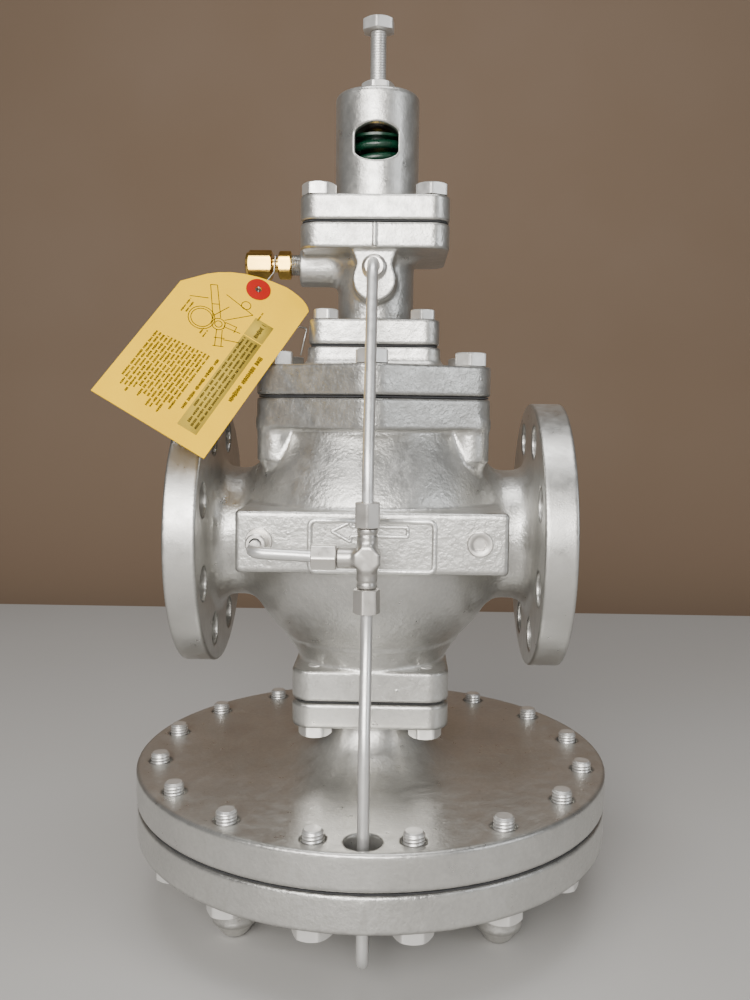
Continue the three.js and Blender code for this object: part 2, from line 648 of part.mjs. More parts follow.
part('inlet_port_plug', 'tube', alongY(geometryOf(cut(
  join(
    cylinder(4.7, -79, -70, { segments: 12 }),
    cylinder(PLUG_R, -81.4, -78.9),
  ),
  hexagon(6, -82, -77),
))).translate(PORT.x, 0, PORT.z));
part('case_connector', 'tube', cut(
  join(
    cylinder(5.7, 20, 34, { segments: 16 }),
    hexagon(14, 9, 25.7),
    alongY(hexagon(NUT_FLATS, -21, 0)).translate(0, 0, CONNECTOR_Z),
  ),
  alongY(cylinder(TUBE_HOLE_R, -22, -7.7, { segments: 12 })).translate(0, 0, CONNECTOR_Z),
));

// Blanked connection on the pilot's left branch
part('sensing_adapter', 'brass', alongX(geometryOf(join(
  cylinder(4.3, -60.5, -35, { segments: 16 }),
  cylinder(6.2, -49.6, -44.5, { segments: 16 }),
  hexagon(14.8, -57, -49.5),
))).translate(0, 0, SENSE_PORT_Z));
part('sensing_nut', 'brass', alongX(geometryOf(join(
  hexagon(15.6, -74.8, -60.8),
  cylinder(6.6, -76.3, -74.7, { segments: 24, top: 7.8 }),
))).translate(0, 0, SENSE_PORT_Z));

// Hanging tag on its wire
part('instruction_tag', 'card', tagCard());
part('tag_ring', 'red', geometryOf(cut(
  cylinder(6.9, 0.8, 1.1, { x: TAG.eyelet[0], y: TAG.eyelet[1] }),
  cylinder(1.9, 0, 2, { x: TAG.eyelet[0], y: TAG.eyelet[1], segments: 12 }),
)).applyMatrix4(tagMatrix));
const [holeU, holeV] = TAG.eyelet;
part('tag_wire', 'steel', bar([
  [-58.8, 3, 380.8], [-58.8, -3.4, 380], [-58.8, -5.9, 376], [-59.2, -6.3, 370],
  onTag(holeU - 0.9, holeV, -6), onTag(holeU - 0.9, holeV, 2.4),
  onTag(holeU + 0.9, holeV, 2.4), onTag(holeU + 0.9, holeV, -4),
  onTag(58, 97, -4), [-38.6, -20, 337], [-41.7, -24, 321.4],
], 0.5, 0.8, 3, 6));

export default valve;
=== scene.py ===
import math

import bpy
import numpy as np
import openvdb
from mathutils import Matrix, Vector


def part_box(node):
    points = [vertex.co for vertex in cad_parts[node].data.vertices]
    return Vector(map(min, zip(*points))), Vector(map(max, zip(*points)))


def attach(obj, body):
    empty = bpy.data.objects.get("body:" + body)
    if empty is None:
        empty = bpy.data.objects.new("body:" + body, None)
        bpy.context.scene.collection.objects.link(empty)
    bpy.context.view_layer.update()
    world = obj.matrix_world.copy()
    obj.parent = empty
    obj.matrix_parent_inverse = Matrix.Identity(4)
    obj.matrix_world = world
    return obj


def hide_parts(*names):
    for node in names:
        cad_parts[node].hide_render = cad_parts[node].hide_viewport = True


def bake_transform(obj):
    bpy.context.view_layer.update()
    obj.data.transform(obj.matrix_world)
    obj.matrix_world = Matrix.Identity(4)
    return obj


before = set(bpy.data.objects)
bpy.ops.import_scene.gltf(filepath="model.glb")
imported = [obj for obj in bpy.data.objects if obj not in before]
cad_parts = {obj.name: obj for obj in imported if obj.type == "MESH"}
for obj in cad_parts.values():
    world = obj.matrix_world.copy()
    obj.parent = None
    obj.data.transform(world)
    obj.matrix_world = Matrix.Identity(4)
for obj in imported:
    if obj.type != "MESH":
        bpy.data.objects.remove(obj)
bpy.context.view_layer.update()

# Lengths in this script are millimetres in the row frame; meshes are scaled to metres as they are made.
MM = 0.001
TAU = 2 * math.pi


def box(node):
    """The lowest and highest corner of a CAD node, in millimetres."""
    low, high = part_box(node)
    return low / MM, high / MM


# Levels and sizes that the frame gives
BODY_LOW, BODY_HIGH = box("main_body")
COVER_LOW, COVER_HIGH = box("main_cover")
PILOT_LOW, PILOT_HIGH = box("pilot_body")
SPRING_LOW, SPRING_HIGH = box("spring_case")
UPPER_LOW, UPPER_HIGH = box("diaphragm_case_upper")
LOWER_LOW, LOWER_HIGH = box("diaphragm_case_lower")
TEE_LOW, TEE_HIGH = box("pipe_tee")
FACE_X = BODY_HIGH.x
CASE_R = LOWER_HIGH.x
TEE_Z = (TEE_LOW.z + TEE_HIGH.z) / 2
TEE_Y = (box("tee_nut_top")[0].y + box("tee_nut_top")[1].y) / 2

# Pipe line and main body
AXIS_Z = 218.0
BELLY_R = 78.8
NECK_R = 38
FLANGE_R, FLANGE_BACK, FLANGE_FRONT = 77.5, 91.5, 109.4
RAISED_FACE_R = 48
FLANGE_HOLES, FLANGE_HOLE_R, FLANGE_HOLE_RING = 8, 9.5, 60
CHAMBER_R, BORE_R, BORE_START = 66, 25, 38
OPENING_R = 46
HEX_FLATS, HEX_CORNER = 131.4, 9
BODY_HEX_Z = 280.4
LUG_X, LUG_R = 54.1, 11
BODY_FOOT, BODY_FOOT_TOP = 44.8, 144.1
BAR_LOW, BAR_HIGH = (-70.3, -78.6, 205.5), (72.8, -20, 238.4)
BAR_Y = BAR_LOW[1]
PORT_X, PORT_Z, PORT_R = 57.5, 222.5, 5

# Cover, pilot and spring case
COVER_BOLT_R = 62.5
COVER_PLATE_Z, COVER_PLATE_TOP, COVER_PAD = 298.8, 315.5, 37.2
PILOT_FOOT, PILOT_FOOT_TOP = 36.6, 341.2
PILOT_HEAD, PILOT_HEAD_Z, PILOT_CORNER = 41.2, 378.9, 11
PILOT_NECK_R = 22
FRONT_BOSS_Z, FRONT_BOSS_Y, FRONT_BOSS_R = 362.4, -38, 11.9
SIDE_BOSS_Z, SIDE_BOSS_R = 373, 10.5
SENSE_PORT_Z = 375
SPRING_PLATE_TOP = 407.7
SPRING_CASE_R, SPRING_BORE_R, SPRING_ROOF = 24, 19.5, 6
WINDOW_HALF, WINDOW_Z, WINDOW_RISE = 12.6, 440.2, 10.2
SCREW_R, SCREW_HOLE_R = 4.6, 4.95

# Diaphragm case
CASE_PLATE_Z = 83.0
CASE_RIM_Z = 42.0
CASE_NECK_Z = 110.5
CASE_CHAMBER_R = 104
CASE_BOLT_R = 126.5
CASE_BOLTS = 16
CASE_BOLT_HOLE_R = 6.6
TUBE_HOLE_R = 9.5
FOOT_X = 73.0
FOOT_Y = 65.0
FOOT_R = 12.6

# Tube and its fittings
TUBE_R, TUBE_BORE_R = 2.98, 3.3
TUBE_BEND = 12
CONNECTOR_Z = 17.0


# ---- node materials ----

class Paint:
    """A node material that is built up around one Principled shader."""

    def __init__(self, name, color, metallic, roughness):
        self.material = bpy.data.materials.new(name)
        self.material.use_nodes = True
        self.tree = self.material.node_tree
        self.shader = self.tree.nodes["Principled BSDF"]
        self.shader.inputs["Base Color"].default_value = (*color, 1)
        self.shader.inputs["Metallic"].default_value = metallic
        self.shader.inputs["Roughness"].default_value = roughness
        self.place = self.node("ShaderNodeTexCoord").outputs["Object"]

    def node(self, kind, **settings):
        made = self.tree.nodes.new(kind)
        for key, value in settings.items():
            setattr(made, key, value)
        return made

    def link(self, source, target):
        self.tree.links.new(source, target)

    def stretched(self, scale):
        mapping = self.node("ShaderNodeMapping")
        mapping.inputs["Scale"].default_value = scale
        self.link(self.place, mapping.inputs["Vector"])
        return mapping.outputs["Vector"]

    def noise(self, scale, detail=3.0, rough=0.55, vector=None):
        made = self.node("ShaderNodeTexNoise")
        made.inputs["Scale"].default_value = scale
        made.inputs["Detail"].default_value = detail
        made.inputs["Roughness"].default_value = rough
        self.link(vector or self.place, made.inputs["Vector"])
        return made.outputs["Fac"]

    def ranged(self, source, low, high, start=0.3, end=0.7):
        made = self.node("ShaderNodeMapRange")
        for key, value in (("From Min", start), ("From Max", end), ("To Min", low), ("To Max", high)):
            made.inputs[key].default_value = value
        self.link(source, made.inputs["Value"])
        return made.outputs["Result"]

    def math(self, operation, first, second):
        made = self.node("ShaderNodeMath", operation=operation)
        for slot, value in enumerate((first, second)):
            if isinstance(value, bpy.types.NodeSocket):
                self.link(value, made.inputs[slot])
            else:
                made.inputs[slot].default_value = value
        return made.outputs["Value"]

    def product(self, first, second):
        return self.math("MULTIPLY", first, second)

    def away_from_middle(self):
        """The distance from the valve's middle plane, along the pipe line."""
        split = self.node("ShaderNodeSeparateXYZ")
        self.link(self.place, split.inputs[0])
        return self.math("ABSOLUTE", split.outputs["X"], 0.0)

    def cells(self, scale):
        """The distance to scattered points, in cell widths."""
        made = self.node("ShaderNodeTexVoronoi")
        made.inputs["Scale"].default_value = scale
        self.link(self.place, made.inputs["Vector"])
        return made.outputs["Distance"]

    def scaled(self, color, amount):
        made = self.node("ShaderNodeMix", data_type="RGBA", blend_type="MULTIPLY")
        made.inputs["Factor"].default_value = 1.0
        self.link(color, made.inputs[6])
        made.inputs[7].default_value = (amount, amount, amount, 1)
        return made.outputs[2]

    def mixed(self, factor, first, second):
        """A colour between two, where each is a colour or a socket."""
        made = self.node("ShaderNodeMix", data_type="RGBA")
        self.link(factor, made.inputs["Factor"])
        for slot, value in ((6, first), (7, second)):
            if isinstance(value, bpy.types.NodeSocket):
                self.link(value, made.inputs[slot])
            else:
                made.inputs[slot].default_value = (*value, 1)
        return made.outputs[2]

    def colour(self, source):
        self.link(source, self.shader.inputs["Base Color"])

    def rough(self, source):
        self.link(source, self.shader.inputs["Roughness"])

    def bumps(self, *layers):
        """Height layers, each (height, depth in millimetres, strength), finest last."""
        normal = None
        for height, depth, strength in layers:
            made = self.node("ShaderNodeBump")
            made.inputs["Distance"].default_value = depth * MM
            made.inputs["Strength"].default_value = strength
            self.link(height, made.inputs["Height"])
            if normal:
                self.link(normal, made.inputs["Normal"])
            normal = made.outputs["Normal"]
        self.link(normal, self.shader.inputs["Normal"])
        return self.material


def tone_with_painted_light(paint, color, painted_edge_highlight, grain=None):
    """Uneven tone: clouded patches and grain, with painted shade darkening the hollows and a painted
    highlight lightening sharp edges.
    """
    patches = paint.ranged(paint.noise(24, 5, 0.6), 0, 1, 0.35, 0.7)
    tone = paint.mixed(patches, color, tuple(c * 0.86 for c in color))
    if grain:
        tone = paint.mixed(grain, paint.scaled(tone, 0.92), tone)
    pointed = paint.node("ShaderNodeNewGeometry").outputs["Pointiness"]
    # Painted highlight: the colour turns lighter along sharp edges, where light catches them
    edge_highlight = paint.ranged(pointed, 0, 1, 0.51, 0.56)
    # Painted shade: the colour darkens to 0.3 of itself in hollows, where shade falls
    hollows = paint.ranged(pointed, 0, 0.6, 0.49, 0.45)
    tone = paint.mixed(hollows, tone, tuple(c * 0.3 for c in color))
    paint.colour(paint.mixed(edge_highlight, tone, painted_edge_highlight))


def cast_paint(name, grain=1.0, machined_from=None):
    """Aluminium paint brushed over sand-cast iron, smooth where the casting is machined."""
    paint = Paint(name, (0.6, 0.59, 0.56), 0.88, 0.36)
    rough_skin = paint.ranged(paint.noise(480, 2.5, 0.55), 0, 1, 0.34, 0.66)
    lumps = paint.ranged(paint.noise(110, 2, 0.5), 0, 1, 0.3, 0.7)
    fine = paint.ranged(paint.noise(1100, 2, 0.55), 0, 1, 0.3, 0.7)
    nibs = paint.ranged(paint.cells(55), 1, 0, 0.02, 0.06)
    if machined_from:
        cast = paint.ranged(paint.away_from_middle(), 1, 0, machined_from[0] * MM, machined_from[1] * MM)
        rough_skin, lumps = paint.product(rough_skin, cast), paint.product(lumps, cast)
        nibs = paint.product(nibs, cast)
    # Painted shade in the hollows, and a painted highlight on edges in a lighter copy of the paint colour
    tone_with_painted_light(paint, (0.62, 0.61, 0.58), (0.8, 0.79, 0.76), rough_skin)
    paint.rough(paint.ranged(paint.noise(140, 4, 0.6), 0.27, 0.44))
    return paint.bumps(
        (lumps, 0.35, 0.3 * grain),
        (rough_skin, 0.2, 0.42 * grain),
        (fine, 0.05, 0.4 * grain),
        (nibs, 0.4, 0.5),
    )


def smooth_paint(name, color, metallic=0.8, roughness=0.34):
    """The same paint over turned or drawn metal."""
    paint = Paint(name, color, metallic, roughness)
    # Painted shade in the hollows, and a painted highlight on edges in a 1.3 times lighter copy of the
    # colour
    tone_with_painted_light(paint, color, tuple(min(c * 1.3, 0.85) for c in color))
    paint.rough(paint.ranged(paint.noise(240, 4, 0.6), roughness * 0.8, roughness * 1.25))
    return paint.bumps((paint.noise(160, 3, 0.5), 0.08, 0.3), (paint.noise(1500, 2, 0.5), 0.03, 0.3))


def turned_metal(name, color, roughness, ring_scale=900.0):
    """Bare machined metal with fine tool rings along its axis."""
    paint = Paint(name, color, 1.0, roughness)
    rings = paint.noise(1, 2, 0.5, paint.stretched((40, 40, ring_scale)))
    paint.rough(paint.ranged(rings, roughness * 0.75, roughness * 1.35))
    stain = paint.ranged(paint.noise(90, 4, 0.6), 0, 1, 0.45, 0.75)
    paint.colour(paint.mixed(stain, color, tuple(c * 0.8 for c in color)))
    return paint.bumps((rings, 0.02, 0.4), (paint.noise(700, 2, 0.5), 0.02, 0.25))


def enamel(name, color):
    paint = Paint(name, color, 0.0, 0.28)
    paint.shader.inputs["Coat Weight"].default_value = 0.2
    paint.shader.inputs["Coat Roughness"].default_value = 0.25
    clouds = paint.ranged(paint.noise(220, 4, 0.6), 0, 1)
    paint.colour(paint.mixed(clouds, color, tuple(c * 0.5 for c in color)))
    paint.rough(paint.ranged(paint.noise(300, 3, 0.5), 0.22, 0.4))
    return paint.bumps((paint.noise(420, 2, 0.5), 0.08, 0.35))


def gasket_sheet(name):
    paint = Paint(name, (0.02, 0.02, 0.022), 0.0, 0.85)
    paint.colour(paint.mixed(paint.noise(900, 3, 0.6), (0.012, 0.012, 0.013), (0.045, 0.045, 0.048)))
    paint.rough(paint.ranged(paint.noise(600, 2, 0.5), 0.7, 0.95))
    return paint.bumps((paint.noise(1400, 2, 0.6), 0.05, 0.5))


def coated_card(name, color, fibre):
    """Thin coated card with a faint fibre grain and handling creases."""
    paint = Paint(name, color, 0.0, 0.6)
    paint.shader.inputs["Specular IOR Level"].default_value = 0.03
    clouds = paint.ranged(paint.noise(45, 4, 0.6), 0, 1, 0.3, 0.75)
    paint.colour(paint.mixed(clouds, color, fibre))
    paint.rough(paint.ranged(paint.noise(500, 3, 0.6), 0.5, 0.72))
    return paint.bumps((paint.noise(26, 2, 0.5), 0.5, 0.25), (paint.noise(1300, 3, 0.6), 0.03, 0.35))


def printed_ink(name, color):
    paint = Paint(name, color, 0.0, 0.55)
    paint.shader.inputs["Specular IOR Level"].default_value = 0.03
    clouds = paint.ranged(paint.noise(1600, 2, 0.6), 0, 1)
    paint.colour(paint.mixed(clouds, color, tuple(c * 1.6 for c in color)))
    return paint.bumps((paint.noise(1300, 2, 0.6), 0.02, 0.2))


CAST = cast_paint("cast_paint")
CAST_BODY = cast_paint("cast_paint_body", 1.0, (88.0, 92.0))
CAST_SOFT = cast_paint("cast_paint_plate", 0.6)
SMOOTH = smooth_paint("painted_fastener", (0.58, 0.57, 0.55), 0.75, 0.36)
PIPE = smooth_paint("painted_pipework", (0.72, 0.71, 0.69), 0.8, 0.36)
FITTING = smooth_paint("painted_fitting", (0.52, 0.5, 0.47), 0.88, 0.34)
STEEL = turned_metal("stainless", (0.56, 0.56, 0.55), 0.28)
WIRE = turned_metal("spring_wire", (0.45, 0.44, 0.42), 0.35, 200)
BRASS = turned_metal("brass", (0.8, 0.52, 0.13), 0.2)
GREEN = enamel("green_spring", (0.004, 0.045, 0.022))
GASKET = gasket_sheet("gasket_sheet")
CARD = coated_card("yellow_card", (0.88, 0.53, 0.0), (0.82, 0.48, 0.0))
BOX_CARD = coated_card("tag_panel", (0.5, 0.35, 0.04), (0.45, 0.31, 0.04))
RED = coated_card("red_ring", (0.38, 0.014, 0.01), (0.32, 0.012, 0.008))
INK = printed_ink("tag_ink", (0.02, 0.015, 0.006))


# ---- placing pieces ----

# Edges sharper than this many degrees stay crisp on machined pieces
SHARP_ANGLE = 28


def place(obj, material, body, slot, *nodes, smooth_angle=None):
    """Gives a finished mesh its material, the body it rides on and the CAD nodes it stands for."""
    if material:
        obj.data.materials.clear()
        obj.data.materials.append(material)
    obj.data.polygons.foreach_set("use_smooth", np.ones(len(obj.data.polygons), bool))
    if smooth_angle is not None:
        obj.data.set_sharp_from_angle(angle=math.radians(smooth_angle))
    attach(obj, body)
    if nodes:
        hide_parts(*nodes)
    return obj


def new_object(name, vertices, faces):
    """An object from millimetre vertices and a list or array of faces."""
    mesh = bpy.data.meshes.new(name)
    points = np.asarray(vertices, float) * MM
    mesh.from_pydata(points.tolist(), [], faces.tolist() if hasattr(faces, "tolist") else faces)
    mesh.validate()
    obj = bpy.data.objects.new(name, mesh)
    bpy.context.scene.collection.objects.link(obj)
    return obj


def join_meshes(name, parts):
    """One object from several (vertices, faces) lists."""
    vertices, faces = [], []
    for part_vertices, part_faces in parts:
        base = len(vertices)
        vertices.extend([tuple(v) for v in part_vertices])
        faces.extend([[base + i for i in f] for f in part_faces])
    return new_object(name, vertices, faces)


def moved(part, matrix):
    vertices, faces = part
    return [tuple(matrix @ Vector(v)) for v in vertices], faces


def at(x, y, z):
    return Matrix.Translation((x, y, z))


ALONG_X = Matrix.Rotation(math.pi / 2, 4, "Y")
ALONG_Y = Matrix.Rotation(-math.pi / 2, 4, "X")


def turned(angle):
    return Matrix.Rotation(angle, 4, "Z")


# ---- cast shapes as distance fields ----

def blend_of(a, b, k):
    """Union with a fillet about k across."""
    h = np.maximum(k - np.abs(a - b), 0) / k
    return np.minimum(a, b) - h * h * k * 0.25


def union(first, *others):
    for other in others:
        first = np.minimum(first, other)
    return first


def corner_of(a, b, k):
    """Intersection with its edge rounded about k across."""
    return -blend_of(-a, -b, k)


def rounded(side, ends, edge):
    """Where two distances meet in an edge of that radius."""
    a, b = side + edge, ends + edge
    return np.sqrt(np.maximum(a, 0) ** 2 + np.maximum(b, 0) ** 2) + np.minimum(np.maximum(a, b), 0) - edge


def between(v, low, high):
    return np.maximum(low - v, v - high)


def post(x, y, z, r, low, high, cx=0.0, cy=0.0, edge=0.5):
    return rounded(np.hypot(x - cx, y - cy) - r, between(z, low, high), edge)


def cone(x, y, z, r_low, r_high, low, high, cx=0.0, cy=0.0, edge=0.5):
    slope = (r_high - r_low) / (high - low)
    side = (np.hypot(x - cx, y - cy) - (r_low + slope * (z - low))) / math.hypot(1, slope)
    return rounded(side, between(z, low, high), edge)


def ball(x, y, z, r):
    return np.sqrt(x ** 2 + y ** 2 + z ** 2) - r


def square(x, y, half, corner):
    qx, qy = np.abs(x) - half + corner, np.abs(y) - half + corner
    return np.hypot(np.maximum(qx, 0), np.maximum(qy, 0)) + np.minimum(np.maximum(qx, qy), 0) - corner


def hexagon(x, y, flats, k):
    side = None
    for i in range(6):
        angle = i * math.pi / 3
        flat = x * math.cos(angle) + y * math.sin(angle) - flats / 2
        side = flat if side is None else corner_of(side, flat, k)
    return side


def slab(x, y, z, low, high, edge):
    """A box with rounded edges, from its lowest to its highest corner."""
    gaps = [between(v, a, b) + edge for v, a, b in zip((x, y, z), low, high)]
    outside = np.sqrt(sum(np.maximum(g, 0) ** 2 for g in gaps))
    return outside + np.minimum(np.maximum(np.maximum(*gaps[:2]), gaps[2]), 0) - edge


def casting(name, low, high, step, shape):
    """A mesh of a distance field's zero surface, sampled every step millimetres."""
    axes = [np.arange(a - 2.5 * step, b + 3 * step, step, dtype=np.float32) for a, b in zip(low, high)]
    field = shape(*np.meshgrid(*axes, indexing="ij", sparse=True)).astype(np.float32)
    grid = openvdb.FloatGrid(3 * step)
    grid.copyFromArray(np.clip(field, -3 * step, 3 * step))
    points, quads = grid.convertToQuads()
    points = points * step + np.array([axis[0] for axis in axes])
    return new_object(name, points, quads[:, ::-1])


def main_body(x, y, z):
    up = z - AXIS_Z
    rho = np.hypot(y, up)
    along = np.abs(x)
    shape = ball(x, y, up, BELLY_R)
    shape = blend_of(shape, rounded(rho - NECK_R, along - 96, 0.5), 7)
    shape = blend_of(shape, post(x, y, z, 56.5, 250, 284), 16)
    flange = rounded(rho - FLANGE_R, between(along, FLANGE_BACK, FLANGE_FRONT), 1.2)
    flange = np.minimum(flange, rounded(rho - RAISED_FACE_R, between(along, 100, FACE_X), 0.5))
    shape = blend_of(shape, flange, 12)
    top = rounded(hexagon(x, y, HEX_FLATS, HEX_CORNER), between(z, BODY_HEX_Z, BODY_HIGH.z), 1.4)
    shape = blend_of(shape, top, 2.5)
    lug_y = COVER_BOLT_R / 2
    lug = post(np.abs(x), np.abs(y), z, LUG_R, 262, 286, LUG_X, lug_y, 1)
    lug = np.minimum(lug, cone(np.abs(x), np.abs(y), z, 4, LUG_R, 250, 264, LUG_X, lug_y, 1))
    shape = blend_of(shape, lug, 3)
    shape = blend_of(shape, cone(x, y, z, 42, 51, 142, 157, edge=1), 4)
    cheek = slab(np.abs(x), y, z, (36.5, 18, 138), (44.4, 44, 162), 2)
    shape = blend_of(shape, cheek, 3)
    foot = rounded(square(x, y, BODY_FOOT, 12), between(z, BODY_LOW.z, BODY_FOOT_TOP), 1.6)
    shape = blend_of(shape, foot, 3)
    shape = blend_of(shape, slab(x, y, z, BAR_LOW, BAR_HIGH, 2.2), 2)
    return np.maximum(shape, -hollows(x, y, z))


def hollows(x, y, z):
    """Flow passages, chambers and flange bolt holes."""
    up = z - AXIS_Z
    rho = np.hypot(y, up)
    chamber = ball(x, y, up, CHAMBER_R)
    inlet = np.maximum(np.maximum(chamber, 228 - z), -np.maximum(rho - 33, x + 30))
    outlet = np.maximum(np.maximum(chamber, z - 210), -np.maximum(rho - 33, 30 - x))
    inside = union(
        blend_of(inlet, np.maximum(rho - BORE_R, BORE_START - x), 3),
        blend_of(outlet, np.maximum(rho - BORE_R, BORE_START + x), 3),
        post(x, y, z, OPENING_R, 262, 310),
        post(x, y, z, 24, 216, 232),
        post(x, y, z, 18.5, 205, 220),
        post(x, y, z, 14, 120, 160),
    )
    step = TAU / FLANGE_HOLES
    turn = (np.round((np.arctan2(up, y) - step / 2) / step) * step) + step / 2
    hole_y, hole_up = FLANGE_HOLE_RING * np.cos(turn), FLANGE_HOLE_RING * np.sin(turn)
    hole = np.maximum(np.hypot(y - hole_y, up - hole_up) - FLANGE_HOLE_R, 83 - np.abs(x))
    ports = np.maximum(np.hypot(np.abs(x) - PORT_X, z - PORT_Z) - PORT_R, y + 66)
    return union(inside, hole, ports)


def main_cover(x, y, z):
    top = rounded(hexagon(x, y, HEX_FLATS, HEX_CORNER), between(z, COVER_PLATE_Z, COVER_PLATE_TOP), 1.4)
    pad = rounded(square(x, y, COVER_PAD, 9), between(z, 305, COVER_HIGH.z), 1.2)
    shape = blend_of(top, pad, 6)
    shape = union(shape, post(x, y, z, 45.4, 291, 300), post(x, y, z, 9.5, COVER_LOW.z, 292))
    return np.maximum(shape, -post(x, y, z, 5, 255, 284))


def pilot_body(x, y, z):
    lower = rounded(square(x, y, PILOT_FOOT, 9), between(z, PILOT_LOW.z, PILOT_FOOT_TOP), 1.4)
    upper = rounded(square(x, y, PILOT_HEAD, PILOT_CORNER), between(z, PILOT_HEAD_Z, PILOT_HIGH.z), 1.4)
    shape = blend_of(blend_of(post(x, y, z, PILOT_NECK_R, 330, 386), lower, 3), upper, 9)
    disc = np.hypot(x, z - FRONT_BOSS_Z) - FRONT_BOSS_R
    neck = np.maximum(np.abs(x) - 9.4 - np.maximum(z - 370, 0) * 0.35, FRONT_BOSS_Z - z)
    boss = np.maximum(blend_of(disc, neck, 2.5), z - 384)
    shape = blend_of(shape, rounded(boss, between(y, FRONT_BOSS_Y, 0), 0.9), 2)
    branch = rounded(np.hypot(y, z - SIDE_BOSS_Z) - SIDE_BOSS_R, between(x, PILOT_LOW.x, 0), 1.2)
    shape = blend_of(shape, branch, 5)
    fin = slab(x, y, z, (-1.0, PILOT_LOW.y + 0.05, 379.5), (1.0, -30, 392.6), 0.4)
    shape = np.minimum(shape, fin)
    branch_hole = np.maximum(np.hypot(y, z - SENSE_PORT_Z) - 4.6, x + 34)
    inside = union(
        post(x, y, z, 20, 384, 400), post(x, y, z, 9, 352, 386), post(x, y, z, 12, 320, 349.5), branch_hole)
    return np.maximum(shape, -inside)


def spring_case(x, y, z):
    base = rounded(square(x, y, PILOT_HEAD, PILOT_CORNER), between(z, SPRING_LOW.z, SPRING_PLATE_TOP), 1.4)
    shape = blend_of(base, post(x, y, z, SPRING_CASE_R, 400, SPRING_HIGH.z, edge=3.2), 3)
    roof = SPRING_HIGH.z - SPRING_ROOF
    inside = np.minimum(post(x, y, z, SPRING_BORE_R, 380, roof), post(x, y, z, SCREW_HOLE_R, roof - 2, 480))
    wide, tall = np.abs(x), z - WINDOW_Z
    window = np.maximum(wide - WINDOW_HALF, np.hypot(x * 0.72, tall) - WINDOW_RISE - 0.02 * wide)
    window = np.maximum(corner_of(wide - WINDOW_HALF, window, 2), y)
    shape = corner_of(shape, -window, 1.2)
    return np.maximum(shape, -inside)


def case_upper(x, y, z):
    plate = rounded(np.hypot(x, y) - CASE_R, between(z, UPPER_LOW.z, CASE_PLATE_Z), 2)
    neck = cone(x, y, z, 36, 29, 76, 114)
    shape = blend_of(plate, neck, 30)
    flange = rounded(square(x, y, BODY_FOOT, 12), between(z, CASE_NECK_Z, UPPER_HIGH.z), 1.8)
    shape = blend_of(shape, flange, 6)
    inside = union(
        post(x, y, z, CASE_CHAMBER_R, 50, 75), post(x, y, z, 20, 70, 130),
        post(x, y, z, TUBE_HOLE_R, 60, 90, cy=-CASE_BOLT_R, edge=0.1))
    step = TAU / CASE_BOLTS
    around = (np.floor(np.arctan2(y, x) / step) + 0.5) * step
    bolt_x, bolt_y = CASE_BOLT_R * np.cos(around), CASE_BOLT_R * np.sin(around)
    clearance = np.maximum(np.hypot(x - bolt_x, y - bolt_y) - CASE_BOLT_HOLE_R, CASE_PLATE_Z - 4 - z)
    return np.maximum(shape, -np.minimum(inside, clearance))


def case_lower(x, y, z):
    shape = rounded(np.hypot(x, y) - CASE_R + 0.4, between(z, CASE_RIM_Z, LOWER_HIGH.z), 1.8)
    shape = blend_of(shape, cone(x, y, z, 103, 114, 26, CASE_RIM_Z + 2, edge=5), 7)
    feet = cone(np.abs(x), np.abs(y), z, 6, FOOT_R, LOWER_LOW.z, 10, FOOT_X, FOOT_Y, 2)
    feet = blend_of(feet, post(np.abs(x), np.abs(y), z, FOOT_R, 9, 36, FOOT_X, FOOT_Y, 1.5), 3)
    shape = blend_of(shape, feet, 5)
    seam = slab(x, y, z, (-0.7, -CASE_R, 48), (0.7, -130, 59), 0.4)
    shape = blend_of(shape, seam, 1.2)
    inside = union(
        cone(x, y, z, 92, CASE_CHAMBER_R, 35, 44), post(x, y, z, CASE_CHAMBER_R, 42, 70),
        post(x, y, z, TUBE_HOLE_R, 30, 70, cy=-CASE_BOLT_R, edge=0.1), post(x, y, z, 6, 20, 40))
    return np.maximum(shape, -inside)


def tee_body(x, y, z):
    out, up = y - TEE_Y, z - TEE_Z
    run = rounded(np.hypot(x, out) - 5.2, between(z, TEE_LOW.z, TEE_HIGH.z), 0.6)
    branch = rounded(np.hypot(out, up) - 5.2, between(x, TEE_LOW.x, 0), 0.6)
    block = np.maximum(np.maximum(np.abs(x), np.abs(up)), (np.abs(x) + np.abs(up)) * 0.72) - 6.6
    block = rounded(block, np.abs(out) - 6.4, 1.6)
    shape = blend_of(np.minimum(run, branch), block, 2.5)
    for along in (TEE_HIGH.z - 3.0, TEE_LOW.z + 3.0):
        shape = np.maximum(shape, -(np.hypot(np.hypot(x, out) - 5.9, z - along) - 1.1))
    return shape


# ---- turned, threaded and hexagonal shapes ----

def ring_of(r, z, sides):
    return [(r * math.cos(i * TAU / sides), r * math.sin(i * TAU / sides), z) for i in range(sides)]


def lathe(profile, sides=64):
    """A closed solid of revolution about Z from [radius, z] points, bottom to top."""
    vertices, faces, rings = [], [], []
    for r, z in profile:
        if r == 0:
            rings.append([len(vertices)])
            vertices.append((0, 0, z))
        else:
            rings.append(list(range(len(vertices), len(vertices) + sides)))
            vertices.extend(ring_of(r, z, sides))
    pairs = list(zip(rings, rings[1:]))
    if profile[0][0] > 0:
        pairs.append((rings[-1], rings[0]))
    for a, b in pairs:
        for i in range(sides):
            j = (i + 1) % sides
            face = [a[i % len(a)], a[j % len(a)], b[j % len(b)], b[i % len(b)]]
            faces.append([v for n, v in enumerate(face) if v not in face[:n]])
    return vertices, faces


def softened(profile, size=0.4):
    """The same profile with its corners cut back a little, for a small edge bevel."""
    points = [profile[0]]
    for before, corner, after in zip(profile, profile[1:], profile[2:]):
        c = Vector(corner)
        back, on = Vector(before) - c, Vector(after) - c
        cut = min(size, back.length * 0.35, on.length * 0.35)
        points.append(tuple(c + back.normalized() * cut))
        points.append(tuple(c + on.normalized() * cut))
    points.append(profile[-1])
    return points


